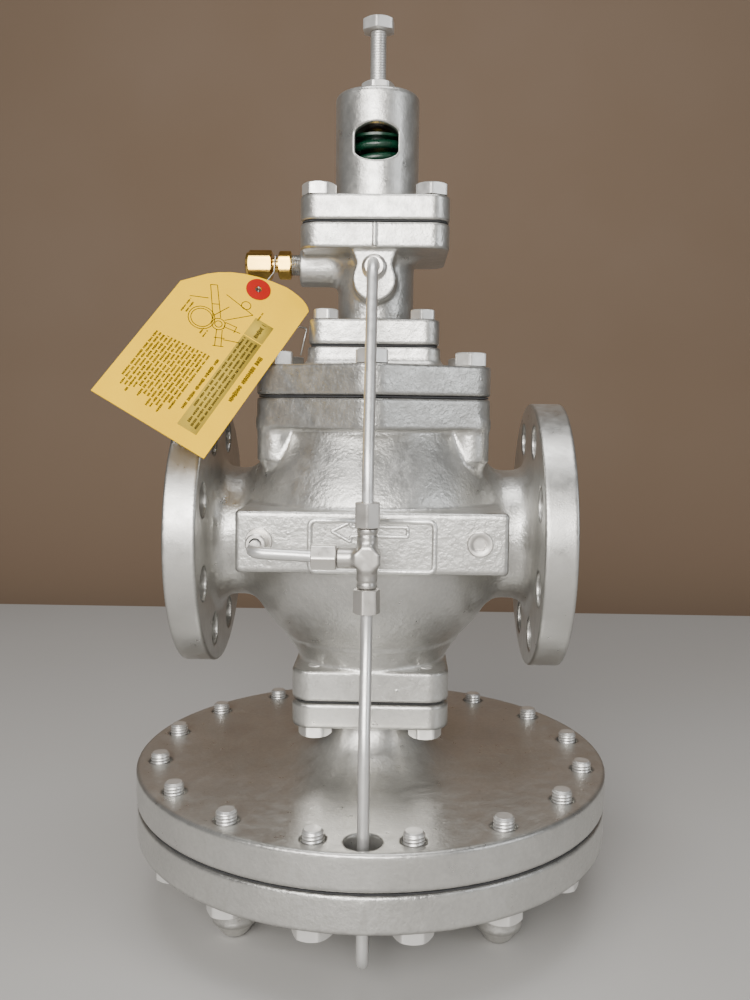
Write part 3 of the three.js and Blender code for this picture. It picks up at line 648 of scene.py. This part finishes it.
def hex_solid(flats, low, high, hole=0.0, top=True, bottom=True, sides=72):
    """A hexagon bar with chamfered corners, and a round hole through it if hole is more than 0."""
    half = flats / 2
    inner = half * 0.94

    def reach(i):
        angle = (i * TAU / sides) % (TAU / 6)
        return min(half / math.cos(angle - TAU / 12), half * 1.125)

    def ring(radius_of, height_of):
        angles = [i * TAU / sides for i in range(sides)]
        return [(radius_of(i) * math.cos(a), radius_of(i) * math.sin(a), height_of(i))
                for i, a in enumerate(angles)]

    def drop(i):
        return (reach(i) - inner) * 0.55

    levels = [ring(lambda i: inner, lambda i: low)]
    levels.append(ring(reach, lambda i: low + (drop(i) if bottom else 0.15)))
    levels.append(ring(reach, lambda i: high - (drop(i) if top else 0.15)))
    levels.append(ring(lambda i: inner, lambda i: high))
    vertices = [v for level in levels for v in level]
    faces = []
    for n in range(3):
        faces += band(n * sides, (n + 1) * sides, sides)
    if hole:
        base = len(vertices)
        vertices += ring(lambda i: hole, lambda i: high) + ring(lambda i: hole, lambda i: low)
        faces += band(3 * sides, base, sides) + band(base, base + sides, sides)
        faces += band(base + sides, 0, sides)
    else:
        close_ends(vertices, faces, sides, 3 * sides, (0, 0, low), (0, 0, high))
    return vertices, faces


def band(a, b, sides):
    return [[a + i, a + (i + 1) % sides, b + (i + 1) % sides, b + i] for i in range(sides)]


def close_ends(vertices, faces, sides, last, first_middle, last_middle):
    """Adds a fan over the first ring and another over the last one."""
    vertices += [first_middle, last_middle]
    faces += [[len(vertices) - 2, (i + 1) % sides, i] for i in range(sides)]
    faces += [[len(vertices) - 1, last + i, last + (i + 1) % sides] for i in range(sides)]


def threaded(r, pitch, low, high, sides=32, depth=0.6):
    """A bar with a helical thread and a chamfered upper end."""
    rows = max(4, int((high - low) / pitch * 6))
    vertices, faces = [], []
    for n in range(rows + 1):
        z = low + (high - low) * n / rows
        for i in range(sides):
            phase = (z / pitch - i / sides) % 1
            groove = depth * pitch * abs(phase - 0.5) * 2 * 0.6
            limit = r - max(0, z - (high - pitch * 0.8)) * 0.9
            radius = max(min(r - groove, limit), r * 0.6)
            vertices.append((radius * math.cos(i * TAU / sides), radius * math.sin(i * TAU / sides), z))
        if n:
            faces += band((n - 1) * sides, n * sides, sides)
    close_ends(vertices, faces, sides, rows * sides, (0, 0, low), (0, 0, high))
    return vertices, faces


def sweep(points, radius, sides=20):
    """A round bar with closed ends along a list of points."""
    path = [Vector(p) for p in points]
    vertices, faces = [], []
    side = None
    for n, point in enumerate(path):
        ahead = (path[min(n + 1, len(path) - 1)] - path[max(n - 1, 0)]).normalized()
        if side is None:
            side = ahead.orthogonal().normalized()
        side = (side - ahead * side.dot(ahead)).normalized()
        over = ahead.cross(side)
        for i in range(sides):
            angle = i * TAU / sides
            vertices.append(tuple(point + radius * (math.cos(angle) * side + math.sin(angle) * over)))
        if n:
            faces += band((n - 1) * sides, n * sides, sides)
    close_ends(vertices, faces, sides, (len(path) - 1) * sides, tuple(path[0]), tuple(path[-1]))
    return vertices, faces


def bent(points, bend, count=14):
    """Straight runs joined by smooth bends, as a list of points."""
    at_ = [Vector(p) for p in points]
    route = [at_[0]]
    for before, corner, after in zip(at_, at_[1:], at_[2:]):
        start = corner + (before - corner).normalized() * min(bend, (before - corner).length * 0.48)
        end = corner + (after - corner).normalized() * min(bend, (after - corner).length * 0.48)
        for i in range(count + 1):
            t = i / count
            route.append(start * (1 - t) ** 2 + corner * 2 * t * (1 - t) + end * t * t)
    route.append(at_[-1])
    return route


def helix(mean, low, high, turns, wire):
    """The centre line of a spring whose ends are closed and ground flat."""
    count = int(turns * 40)
    route = []
    for n in range(count + 1):
        t = n / count
        rise = t - 0.055 * math.sin(TAU * t)
        angle = -math.pi / 2 + t * turns * TAU
        height = low + wire * 0.35 + rise * (high - low - wire * 0.7)
        route.append(Vector((mean * math.cos(angle), mean * math.sin(angle), height)))
    return route


def spring(mean, wire, low, high, turns, sides=14):
    vertices, faces = sweep(helix(mean, low, high, turns, wire), wire, sides)
    return [(x, y, min(max(z, low), high)) for x, y, z in vertices], faces


# ---- the castings ----

# Each casting: its name, CAD node, sampling step, shape, material and material slot
CASTINGS = [
    ("main_body_cast", "main_body", 0.9, main_body, CAST_BODY, "cast_paint"),
    ("main_cover_cast", "main_cover", 0.9, main_cover, CAST, "cast_paint"),
    ("pilot_body_cast", "pilot_body", 0.7, pilot_body, CAST, "cast_paint"),
    ("spring_case_cast", "spring_case", 0.6, spring_case, CAST_SOFT, "cast_paint"),
    ("case_upper_cast", "diaphragm_case_upper", 1.05, case_upper, CAST_SOFT, "cast_paint"),
    ("case_lower_cast", "diaphragm_case_lower", 1.15, case_lower, CAST, "cast_paint"),
    ("pipe_tee_forging", "pipe_tee", 0.4, tee_body, FITTING, "painted_pipework"),
]


def build_castings():
    for name, node, step, shape, material, slot in CASTINGS:
        place(casting(name, *box(node), step, shape), material, "valve", slot, node)


def bead(points, radius, bend):
    """A raised line cast on the front bar, through [x, z] points, closed if it ends where it starts."""
    return sweep(bent([(x, BAR_Y + 0.2 * radius, z) for x, z in points], bend, 6), radius, 12)


def build_bar_marks():
    """The panel's raised frame and the outline of its flow arrow, pointing to the outlet."""
    frame_line = [(1.5, 233.6), (-31, 233.6), (-31, 207.2), (34, 207.2), (34, 233.6), (1.5, 233.6)]
    arrow = [(20, 228.1), (20, 230.6), (-9.6, 230.6), (-9.6, 233.2), (-19.6, 228.1),
             (-9.6, 222.6), (-9.6, 225.6), (20, 225.6), (20, 228.1)]
    marks = join_meshes("bar_marks", [bead(frame_line, 1.6, 3.5), bead(arrow, 1.15, 0.9)])
    place(marks, CAST, "valve", "cast_paint")


# ---- bolts ----

# How far each hexagon that shows is turned, in degrees, from having a flat to the front
HEX_TURNS = {
    "cover_bolt_1": 30, "cover_bolt_2": 26, "cover_bolt_6": 31,
    "spring_case_bolt_1": 0, "spring_case_bolt_2": 27,
    "pilot_bolt_1": -17, "pilot_bolt_2": 22, "neck_bolt_1": 2, "neck_bolt_2": 3,
    "case_bolt_1": 0, "case_bolt_16": -9,
}

# Bolt sizes as (across flats, shank radius, head height)
M10_TALL, M10_LOW, M8 = (17, 4.9, 7.4), (17, 4.9, 6.6), (13, 3.9, 5.5)
FINE_PITCH = 1.5


def hex_turn(name):
    """The turn of one hexagon, or any for one out of sight."""
    return turned(math.radians(HEX_TURNS.get(name, sum(map(ord, name)) * 21 % 60)))


def cap_bolt(node, size, seat_is_low=True):
    """A hexagon bolt in place of its CAD node, with the head at its upper or lower end."""
    low, high = box(node)
    flats, shank, head = size
    x, y = (low.x + high.x) / 2, (low.y + high.y) / 2
    if seat_is_low:
        under = high.z - head
        parts = [hex_solid(flats, under, high.z, bottom=False),
                 threaded(shank, FINE_PITCH, low.z, under + 0.4)]
    else:
        under = low.z + head
        parts = [hex_solid(flats, low.z, under, top=False),
                 threaded(shank, FINE_PITCH, under - 0.4, high.z)]
    spot = at(x, y, 0) @ hex_turn(node)
    bolt = join_meshes(node + "_detailed", [moved(p, spot) for p in parts])
    place(bolt, SMOOTH, "valve", "painted_fastener", node, smooth_angle=SHARP_ANGLE)


def case_bolt(index):
    """One of the bolts round the diaphragm case: head below, threaded end above the plate."""
    name = f"case_bolt_{index + 1}"
    angle = -math.pi / 2 + (index + 0.5) * TAU / CASE_BOLTS
    spot = at(CASE_BOLT_R * math.cos(angle), CASE_BOLT_R * math.sin(angle), 0) @ hex_turn(name)
    parts = [
        hex_solid(18.8, CASE_RIM_Z - 7.3, CASE_RIM_Z + 0.1, top=False),
        threaded(5.5, 1.75, CASE_RIM_Z, CASE_PLATE_Z + 5.2 + (index % 3) * 0.35, depth=0.4),
    ]
    bolt = join_meshes(name, [moved(p, spot) for p in parts])
    place(bolt, SMOOTH, "valve", "painted_fastener", smooth_angle=SHARP_ANGLE)


def build_bolts():
    for i in range(6):
        cap_bolt(f"cover_bolt_{i + 1}", M10_TALL)
    for i in range(4):
        cap_bolt(f"spring_case_bolt_{i + 1}", M10_LOW)
        cap_bolt(f"pilot_bolt_{i + 1}", M8)
        cap_bolt(f"neck_bolt_{i + 1}", M10_LOW, seat_is_low=False)
    for i in range(CASE_BOLTS):
        case_bolt(i)


# ---- adjusting gear and valve trim ----

def piece(name, parts, material, body, slot, *nodes):
    return place(join_meshes(name, parts), material, body, slot, *nodes, smooth_angle=SHARP_ANGLE)


def middle_of(node):
    low, high = box(node)
    return (low + high) / 2


def build_adjusting_gear():
    low, high = box("adjusting_screw")
    flats, _, head_height = M10_LOW
    head = high.z - head_height
    piece("adjusting_screw_detailed", [
        threaded(SCREW_R, FINE_PITCH, low.z, head + 0.4, sides=40, depth=0.22),
        moved(hex_solid(flats, head, high.z, bottom=False), turned(math.radians(25))),
    ], SMOOTH, "screw", "painted_fastener", "adjusting_screw")
    low, high = box("adjusting_screw_locknut")
    nut = moved(hex_solid(flats, low.z, high.z, hole=SCREW_HOLE_R), turned(math.radians(11)))
    piece("locknut_detailed", [nut], SMOOTH, "locknut", "painted_fastener", "adjusting_screw_locknut")
    low, high = box("upper_spring_seat")
    ring = [(9.8, low.z), (10.4, low.z), (10.4, 445.2), (16.8, 445.2), (16.8, 446.6), (12, 447.5),
            (9.8, 447.6)]
    piece("upper_spring_seat_ring", [lathe(ring)], GREEN, "spring_seat", "green_spring")
    dome = [(9.6 * math.cos(t), 448.6 + 4.3 * math.sin(t)) for t in np.linspace(0, 1.4, 12)]
    piece("upper_spring_seat_turned", [lathe([(0, low.z), (9.6, low.z)] + dome + [(0, high.z)])],
          BRASS, "spring_seat", "brass", "upper_spring_seat")
    low, high = box("adjusting_spring")
    coil = new_object("adjusting_spring_coil", *spring(14, 2.35, low.z, high.z, 5.6))
    flexing(coil, GREEN, "adjusting_spring")
    low, high = box("lower_spring_seat")
    piece("lower_spring_seat_turned", [lathe(softened(
        [(0, low.z), (17, low.z), (17, 398), (10.5, 398), (10.5, high.z), (0, high.z)]))],
        STEEL, "pilot_valve_group", "stainless", "lower_spring_seat")


def flexing(obj, material, node):
    """A spring coil that takes the place of its CAD node, with its material and smooth shading."""
    obj.data.materials.append(material)
    obj.data.polygons.foreach_set("use_smooth", np.ones(len(obj.data.polygons), bool))
    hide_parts(node)
    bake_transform(obj)


# Turned parts as body, material, slot and [radius, level] outline
TURNED = {
    "pilot_valve": ("pilot_valve_group", STEEL, "stainless", [
        (0, 361), (4.5, 361), (4.5, 368.2), (2, 371.8), (2, 389.5), (8, 389.5), (8, 392.8), (0, 392.8)]),
    "pilot_valve_seat": ("valve", STEEL, "stainless", [(3, 371), (8.7, 371), (8.7, 378), (3, 378)]),
    "pilot_screen": ("valve", STEEL, "stainless", [
        (10.5, 327.5), (11.7, 327.5), (11.7, 349.2), (10.5, 349.2)]),
    "main_valve_disc": ("main_valve_group", STEEL, "stainless", [
        (0, 230.3), (21, 230.3), (22, 231.5), (22, 240), (4.7, 240), (4.7, 268), (0, 268)]),
    "main_valve_seat": ("valve", STEEL, "stainless", [
        (17.5, 218.3), (23.7, 218.3), (23.7, 230), (17.5, 230)]),
    "main_valve_stem": ("main_valve_group", STEEL, "stainless", [(0, 69.3), (5, 69.3), (5, 230), (0, 230)]),
    "stem_guide": ("valve", BRASS, "brass", [
        (5.3, 126.7), (13.7, 126.7), (13.7, 160), (9, 164), (5.3, 164)]),
    "diaphragm_pressure_plate": ("main_valve_group", STEEL, "stainless", [
        (0, 63.4), (88, 63.4), (88, 67.4), (12, 67.4), (12, 75), (5.3, 75), (5.3, 69), (0, 69)]),
}


SHEETS = ["main_cover_gasket", "pilot_body_gasket", "neck_gasket", "main_diaphragm", "pilot_diaphragm"]


def build_trim():
    for node, (body, material, slot, profile) in TURNED.items():
        ring_shaped = profile[0][0] > 0
        shape = lathe(profile if ring_shaped else softened(profile))
        piece(node + "_turned", [shape], material, body, slot, node)
    low, high = box("main_valve_spring")
    coil = new_object("main_valve_spring_coil", *spring(13, 1.5, low.z, high.z, 5))
    flexing(coil, WIRE, "main_valve_spring")
    low, high = box("pilot_valve_spring")
    coil = new_object("pilot_valve_spring_coil", *spring(3.4, 0.6, low.z, high.z, 3))
    flexing(coil, WIRE, "pilot_valve_spring")
    for node in SHEETS:
        finish_node(node, GASKET)


def finish_node(node, material):
    """Gives a CAD node that is shown as it is its material."""
    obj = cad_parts[node]
    obj.data.materials.clear()
    obj.data.materials.append(material)
    return obj


# ---- pipework ----

NUT_FLATS = 12
GLAND = [(3.3, -44), (4.9, -44), (5.2, -43.7), (5.2, -41.5), (6.6, -40.6), (7, -40.1), (7, -38.3),
         (3.3, -38.3)]


def fitting(name, parts, spot, node):
    piece(name, [moved(p, spot) for p in parts], FITTING, "valve", "painted_pipework", node)


def tube_nut(node, across, turn):
    """A tube nut in place of its CAD node, turned from Z to its own axis."""
    low, high = box(node)
    half = (high.x - low.x if across == ALONG_X else high.z - low.z) / 2
    spot = at(*middle_of(node)) @ across @ turned(math.radians(turn))
    fitting(node + "_detailed", [hex_solid(NUT_FLATS, -half, half, hole=TUBE_BORE_R)], spot, node)


def tube_routes():
    """The bent centre lines of the three tubes."""
    port_z, foot_z = middle_of("pilot_port_nut").z, CONNECTOR_Z
    side_x, _, side_z = middle_of("outlet_port_connector")
    upper_end, lower_end = box("sensing_pipe_upper")[0].z, box("sensing_pipe_lower")[1].z
    upper = [(0, -39, port_z), (0, -66, port_z), (0, TEE_Y, 262), (0, TEE_Y, upper_end)]
    lower = [(0, TEE_Y, lower_end), (0, TEE_Y, 178), (0, -CASE_BOLT_R, 128), (0, -CASE_BOLT_R, foot_z),
             (0, -8, foot_z)]
    side = [(side_x, -84, side_z), (side_x, TEE_Y, side_z - 1.7), (-36, TEE_Y, TEE_Z + 1),
            (-15.6, TEE_Y, TEE_Z)]
    return {
        "sensing_pipe_upper": bent(upper, TUBE_BEND),
        "sensing_pipe_lower": bent(lower, TUBE_BEND),
        "sensing_pipe_side": bent(side, 8),
    }


def build_pipework():
    for node, route in tube_routes().items():
        piece(node + "_tube", [sweep(route, TUBE_R, 28)], PIPE, "valve", "painted_pipework", node)
    tube_nut("tee_nut_top", Matrix(), 31)
    tube_nut("tee_nut_bottom", Matrix(), 12)
    tube_nut("tee_nut_side", ALONG_X, 30)
    port_z = middle_of("pilot_port_nut").z
    fitting("pilot_port_nut_turned", [lathe(GLAND)], at(0, 0, port_z) @ ALONG_Y, "pilot_port_nut")
    side_x, _, side_z = middle_of("outlet_port_connector")
    end = box("outlet_port_connector")[0].y
    connector = [lathe([(3.3, end), (4.7, end), (5.4, end + 0.7), (5.4, -80.4), (3.3, -80.4)]),
                 lathe([(3.3, -80.6), (6.7, -80.6), (7, -80.3), (7, -79), (3.3, -79)]),
                 lathe([(0, -79.2), (4.7, -79.2), (4.7, -70), (0, -70)], 32)]
    spot = at(side_x, 0, side_z) @ ALONG_Y
    fitting("outlet_port_connector_detailed", connector, spot, "outlet_port_connector")
    build_plug()
    low, high = box("case_connector")
    nut = hex_solid(NUT_FLATS, low.y, -6.5, hole=TUBE_BORE_R)
    elbow = [hex_solid(13.8, low.z, 25.7), lathe([(0, 25), (5.6, 25), (5.6, high.z), (0, high.z)], 32),
             moved(nut, at(0, 0, CONNECTOR_Z) @ ALONG_Y)]
    fitting("case_connector_detailed", elbow, Matrix(), "case_connector")


def build_plug():
    """The hexagon-socket plug in the inlet port: a rim round a six-sided recess."""
    middle = middle_of("inlet_port_plug")
    sides, socket = 72, 3.0
    profile = [(6.75, 0), (6.75, 2.0), (6.2, 2.5), (4.6, 2.5), (4.0, 2.2)]
    vertices, faces = [], []
    for r, height in profile:
        vertices += ring_of(r, height, sides)
    for height in (2.2, -1.4):
        for i in range(sides):
            angle = i * TAU / sides
            r = socket / math.cos(angle % (TAU / 6) - TAU / 12)
            vertices.append((r * math.cos(angle), r * math.sin(angle), height))
    for n in range(len(profile) + 1):
        faces += band(n * sides, (n + 1) * sides, sides)
    close_ends(vertices, faces, sides, (len(profile) + 1) * sides, (0, 0, 0), (0, 0, -1.9))
    spot = at(middle.x, box("inlet_port_plug")[0].y + 2.5, middle.z) @ Matrix.Rotation(math.pi / 2, 4, "X")
    fitting("inlet_port_plug_detailed", [(vertices, faces)], spot, "inlet_port_plug")


def build_sensing_connection():
    spot = at(0, 0, middle_of("sensing_nut").z) @ ALONG_X
    end = box("sensing_adapter")[1].x
    thread = moved(threaded(6.15, 1.3, 44.5, 49.8), spot @ Matrix.Rotation(math.pi, 4, "X"))
    piece("sensing_adapter_thread", [thread], STEEL, "valve", "stainless")
    stub = softened([(0, -60.5), (4.3, -60.5), (4.3, -56.5), (0, -56.5)], 0.2)
    body = [hex_solid(14.8, -57, -49.5), lathe(stub, 40),
            lathe([(0, -50), (4.3, -50), (4.3, end), (0, end)], 40)]
    body = [moved(p, spot) for p in body]
    piece("sensing_adapter_detailed", body, BRASS, "valve", "brass", "sensing_adapter")
    low, high = box("sensing_nut")
    cap = [hex_solid(15.6, low.x + 1.6, high.x), lathe(
        [(0, low.x), (6.0, low.x), (7.2, low.x + 0.6), (7.6, low.x + 1.8), (0, low.x + 1.8)], 48)]
    cap = [moved(p, spot) for p in cap]
    piece("sensing_nut_detailed", cap, BRASS, "valve", "brass", "sensing_nut")


# ---- the hanging tag ----

TAG_CORNER = Vector((-142.7, -84, 299.4))
TAG_WIDE = Vector((0.86, 0, -0.51)).normalized()
TAG_FRONT = TAG_WIDE.cross(Vector((0.43, 0.537, 0.726))).normalized()
TAG_LONG = TAG_FRONT.cross(TAG_WIDE)
EYELET = (37.0, 105.8)
INK_LINE = 0.4


def on_tag(u, v, front):
    return TAG_CORNER + TAG_WIDE * u + TAG_LONG * v + TAG_FRONT * front


def build_tag():
    """The card is its CAD node; the ring, the panels and the print lie on it."""
    card = finish_node("instruction_tag", CARD)
    u, v = EYELET
    circle = [(math.cos(i * TAU / 64), math.sin(i * TAU / 64)) for i in range(64)]
    profile = [(1.9, 0.62), (6.9, 0.62), (6.9, 0.85), (6.6, 0.95), (1.9, 0.95)]
    vertices = [tuple(on_tag(u + r * c, v + r * s, front)) for r, front in profile for c, s in circle]
    faces = []
    for n in range(len(profile)):
        faces += band(n * 64, (n + 1) % len(profile) * 64, 64)
    ring = new_object("tag_ring_disc", vertices, faces)
    place(ring, RED, "valve", "red_ring", "tag_ring", smooth_angle=40)
    panels = [flat_mark(*corners, 0.52, 0.54) for corners in TAG_PANELS]
    place(join_meshes("tag_panels", panels), BOX_CARD, "valve", "yellow_card")
    place(join_meshes("tag_print", print_marks()), INK, "valve", "yellow_card")
    return [card, ring]


# Darker panels on the card, as (across, along) of two opposite corners
TAG_PANELS = [(45.3, 9, 56.8, 75.6), (45.3, 76.2, 56.8, 89)]


def on_card(corners, back=0.54, front=0.57):
    """A thin slab over four corners on the card, between two heights above it."""
    vertices = [tuple(on_tag(u, v, height)) for height in (back, front) for u, v in corners]
    faces = [[3, 2, 1, 0], [4, 5, 6, 7]] + band(0, 4, 4)
    return vertices, faces


def flat_mark(u0, v0, u1, v1, *heights):
    return on_card([(u0, v0), (u1, v0), (u1, v1), (u0, v1)], *heights)


def ink_bar(u0, v0, u1, v1):
    """A thin printed line on the card, from one point to another."""
    start, end = Vector((u0, v0)), Vector((u1, v1))
    along = (end - start).normalized()
    across = Vector((-along.y, along.x)) * INK_LINE / 2
    return on_card([start - across, end - across, end + across, start + across])


def text_row(rng, u, start, end, tall, shortest, longest):
    """A row of bars of uneven length and height, like a line of small print."""
    marks, v = [], start
    while v < end:
        stop = min(v + rng.uniform(shortest, longest), end)
        while v < stop:
            stroke = min(rng.uniform(0.35, 0.8), stop - v + 0.1)
            rise = tall * rng.uniform(0.55, 1)
            marks.append(flat_mark(u - rise / 2, v, u + rise / 2, v + stroke * 0.72))
            v += stroke
        v += tall * 0.55
    return marks


# The plain line drawing: its bodies as circles (across, along, radius) and its lines end to end
DRAWN_CIRCLES = [(31, 73, 3.6), (31, 73, 2.0), (21.5, 71, 7.2), (21.5, 71, 5.8), (37, 92.5, 2.6)]
DRAWN_LINES = [
    ((14.2, 92.2), (17.4, 94.2)), ((14.2, 92.2), (27, 74)), ((17.4, 94.2), (30, 77)),
    ((21.5, 82), (24.6, 84)), ((32, 69.4), (36.5, 60)), ((34.6, 71), (39.5, 61.6)),
    ((35.4, 59.6), (40.6, 62.4)), ((33.4, 64.4), (38.4, 67.2)), ((34.6, 73.4), (43.6, 75)),
    ((33.6, 76.2), (40, 77.2)), ((33.6, 76.2), (34.8, 72)), ((40, 77.2), (40.6, 73.2)),
    ((24.6, 92), (43.2, 89.4)), ((32.4, 77), (43.2, 89.4)), ((26, 76), (30, 86)),
    ((18, 84), (9, 79)), ((38, 66), (47, 70)),
]


def print_marks():
    """Rows of bars for text and a plain line drawing, none of it legible."""
    rng = np.random.default_rng(7)
    marks = []
    for row in range(15):
        u = 37.4 - row * 2.15
        marks += text_row(rng, u, 8 + rng.uniform(0, 9), 48.8 + 0.12 * u, 1.4, 2, 7)
    for row in range(4):
        marks += text_row(rng, 54.4 - row * 2.5, 11 + rng.uniform(0, 12), 74.5, 1.5, 2, 7)
    marks += text_row(rng, 42.6, 18, 54, 2.0, 4, 9)
    marks += text_row(rng, 51.5, 77.5, 87.5, 3.0, 6, 9)
    marks += text_row(rng, 60.6, 36, 69, 2.8, 6, 14)
    for u, start, end in ((10.4, 68, 78), (12.8, 69, 77), (26, 62, 66), (28.4, 61, 66), (47, 88, 94)):
        marks += text_row(rng, u, start, end, 1.1, 2, 5)
    marks += [ink_bar(*a, *b) for a, b in DRAWN_LINES]
    for across, along, radius in DRAWN_CIRCLES:
        around = [(across + radius * math.cos(i * TAU / 20), along + radius * math.sin(i * TAU / 20))
                  for i in range(21)]
        marks += [ink_bar(*a, *b) for a, b in zip(around, around[1:])]
    return marks


def build_wire():
    hole_u, hole_v = EYELET
    corners = [
        Vector((-58.8, 3, 380.8)), Vector((-58.8, -3.4, 380)), Vector((-58.8, -5.9, 376)),
        Vector((-59.2, -6.3, 370)),
        on_tag(hole_u - 0.9, hole_v, -6), on_tag(hole_u - 0.9, hole_v, 2.4),
        on_tag(hole_u + 0.9, hole_v, 2.4), on_tag(hole_u + 0.9, hole_v, -4),
        on_tag(58, 97, -4), Vector((-38.6, -20, 337)), Vector((-41.7, -24, 321.4)),
    ]
    route = bent(corners, 1.6, 6)
    wire = new_object("tag_wire_bent", *sweep(route, 0.5, 12))
    place(wire, WIRE, "valve", "spring_wire", "tag_wire")


# ---- surroundings and camera ----

def build_stage():
    """A pale floor that curves up into a darker, plain backdrop well behind the valve."""
    pale = Paint("pale_floor", (0.41, 0.4, 0.385), 0.0, 0.6)
    pale.rough(pale.ranged(pale.noise(3, 3, 0.5), 0.5, 0.7))
    pale.bumps((pale.noise(60, 2, 0.5), 0.2, 0.1))
    warm = Paint("backdrop", (0.19, 0.13, 0.085), 0.0, 0.8)
    warm.rough(warm.ranged(warm.noise(3, 3, 0.5), 0.7, 0.9))
    rows = [(-2500, 0), (800, 0)]
    for i in range(1, 17):
        angle = i / 16 * math.pi / 2
        rows.append((800 + 400 * math.sin(angle), 400 * (1 - math.cos(angle))))
    rows.append((1200, 2600))
    vertices = [(x, y, z) for y, z in rows for x in (-3000, 3000)]
    faces = [[2 * i, 2 * i + 1, 2 * i + 3, 2 * i + 2] for i in range(len(rows) - 1)]
    floor = new_object("floor", vertices, faces)
    floor.data.materials.append(pale.material)
    floor.data.materials.append(warm.material)
    for i, face in enumerate(floor.data.polygons):
        face.material_index = min(i, 1)
        face.use_smooth = True


def lamp(name, place_, size, watts, color=(1, 1, 1)):
    light = bpy.data.lights.new(name, "AREA")
    light.shape = "RECTANGLE"
    light.size, light.size_y = size
    light.energy = watts
    light.color = color
    obj = bpy.data.objects.new(name, light)
    bpy.context.scene.collection.objects.link(obj)
    obj.location = place_
    target = Vector((0, 0, 0.28))
    obj.rotation_euler = (target - Vector(place_)).to_track_quat("-Z", "Y").to_euler()


def build_lights():
    lamp("key", (-0.55, -1.5, 1.05), (1.3, 0.8), 24, (1, 0.98, 0.95))
    lamp("front", (-0.1, -1.35, 0.58), (0.9, 0.6), 18, (1, 0.98, 0.95))
    lamp("fill", (1.5, -0.9, 0.7), (0.7, 1.0), 7, (0.92, 0.96, 1))
    lamp("top", (0.0, -0.3, 1.7), (1.1, 0.7), 14)
    world = bpy.data.worlds.new("soft_room")
    bpy.context.scene.world = world
    world.use_nodes = True
    world.node_tree.nodes["Background"].inputs["Color"].default_value = (0.85, 0.87, 0.9, 1)
    world.node_tree.nodes["Background"].inputs["Strength"].default_value = 0.13


def build_camera():
    """The view of the photographed valve: slightly above the pipe line, a little over half a metre away."""
    camera = bpy.data.cameras.new("camera")
    camera.sensor_width = 36
    camera.lens = 34.56
    camera.clip_start = 0.02
    obj = bpy.data.objects.new("camera", camera)
    bpy.context.scene.collection.objects.link(obj)
    yaw, pitch, roll = (math.radians(a) for a in (-1.46, 5.47, 0.62))
    ahead = Vector((math.sin(yaw) * math.cos(pitch), math.cos(yaw) * math.cos(pitch), -math.sin(pitch)))
    right = Vector((math.cos(yaw), -math.sin(yaw), 0))
    up = right.cross(ahead)
    right, up = right * math.cos(roll) + up * math.sin(roll), up * math.cos(roll) - right * math.sin(roll)
    turn = Matrix((right, up, -ahead)).transposed().to_4x4()
    obj.matrix_world = Matrix.Translation((0.0154, -0.573, 0.2921)) @ turn
    bpy.context.scene.camera = obj


build_castings()
build_bar_marks()
build_bolts()
build_adjusting_gear()
build_trim()
build_pipework()
build_sensing_connection()
tag_pieces = build_tag()
build_wire()
build_stage()
build_lights()
build_camera()
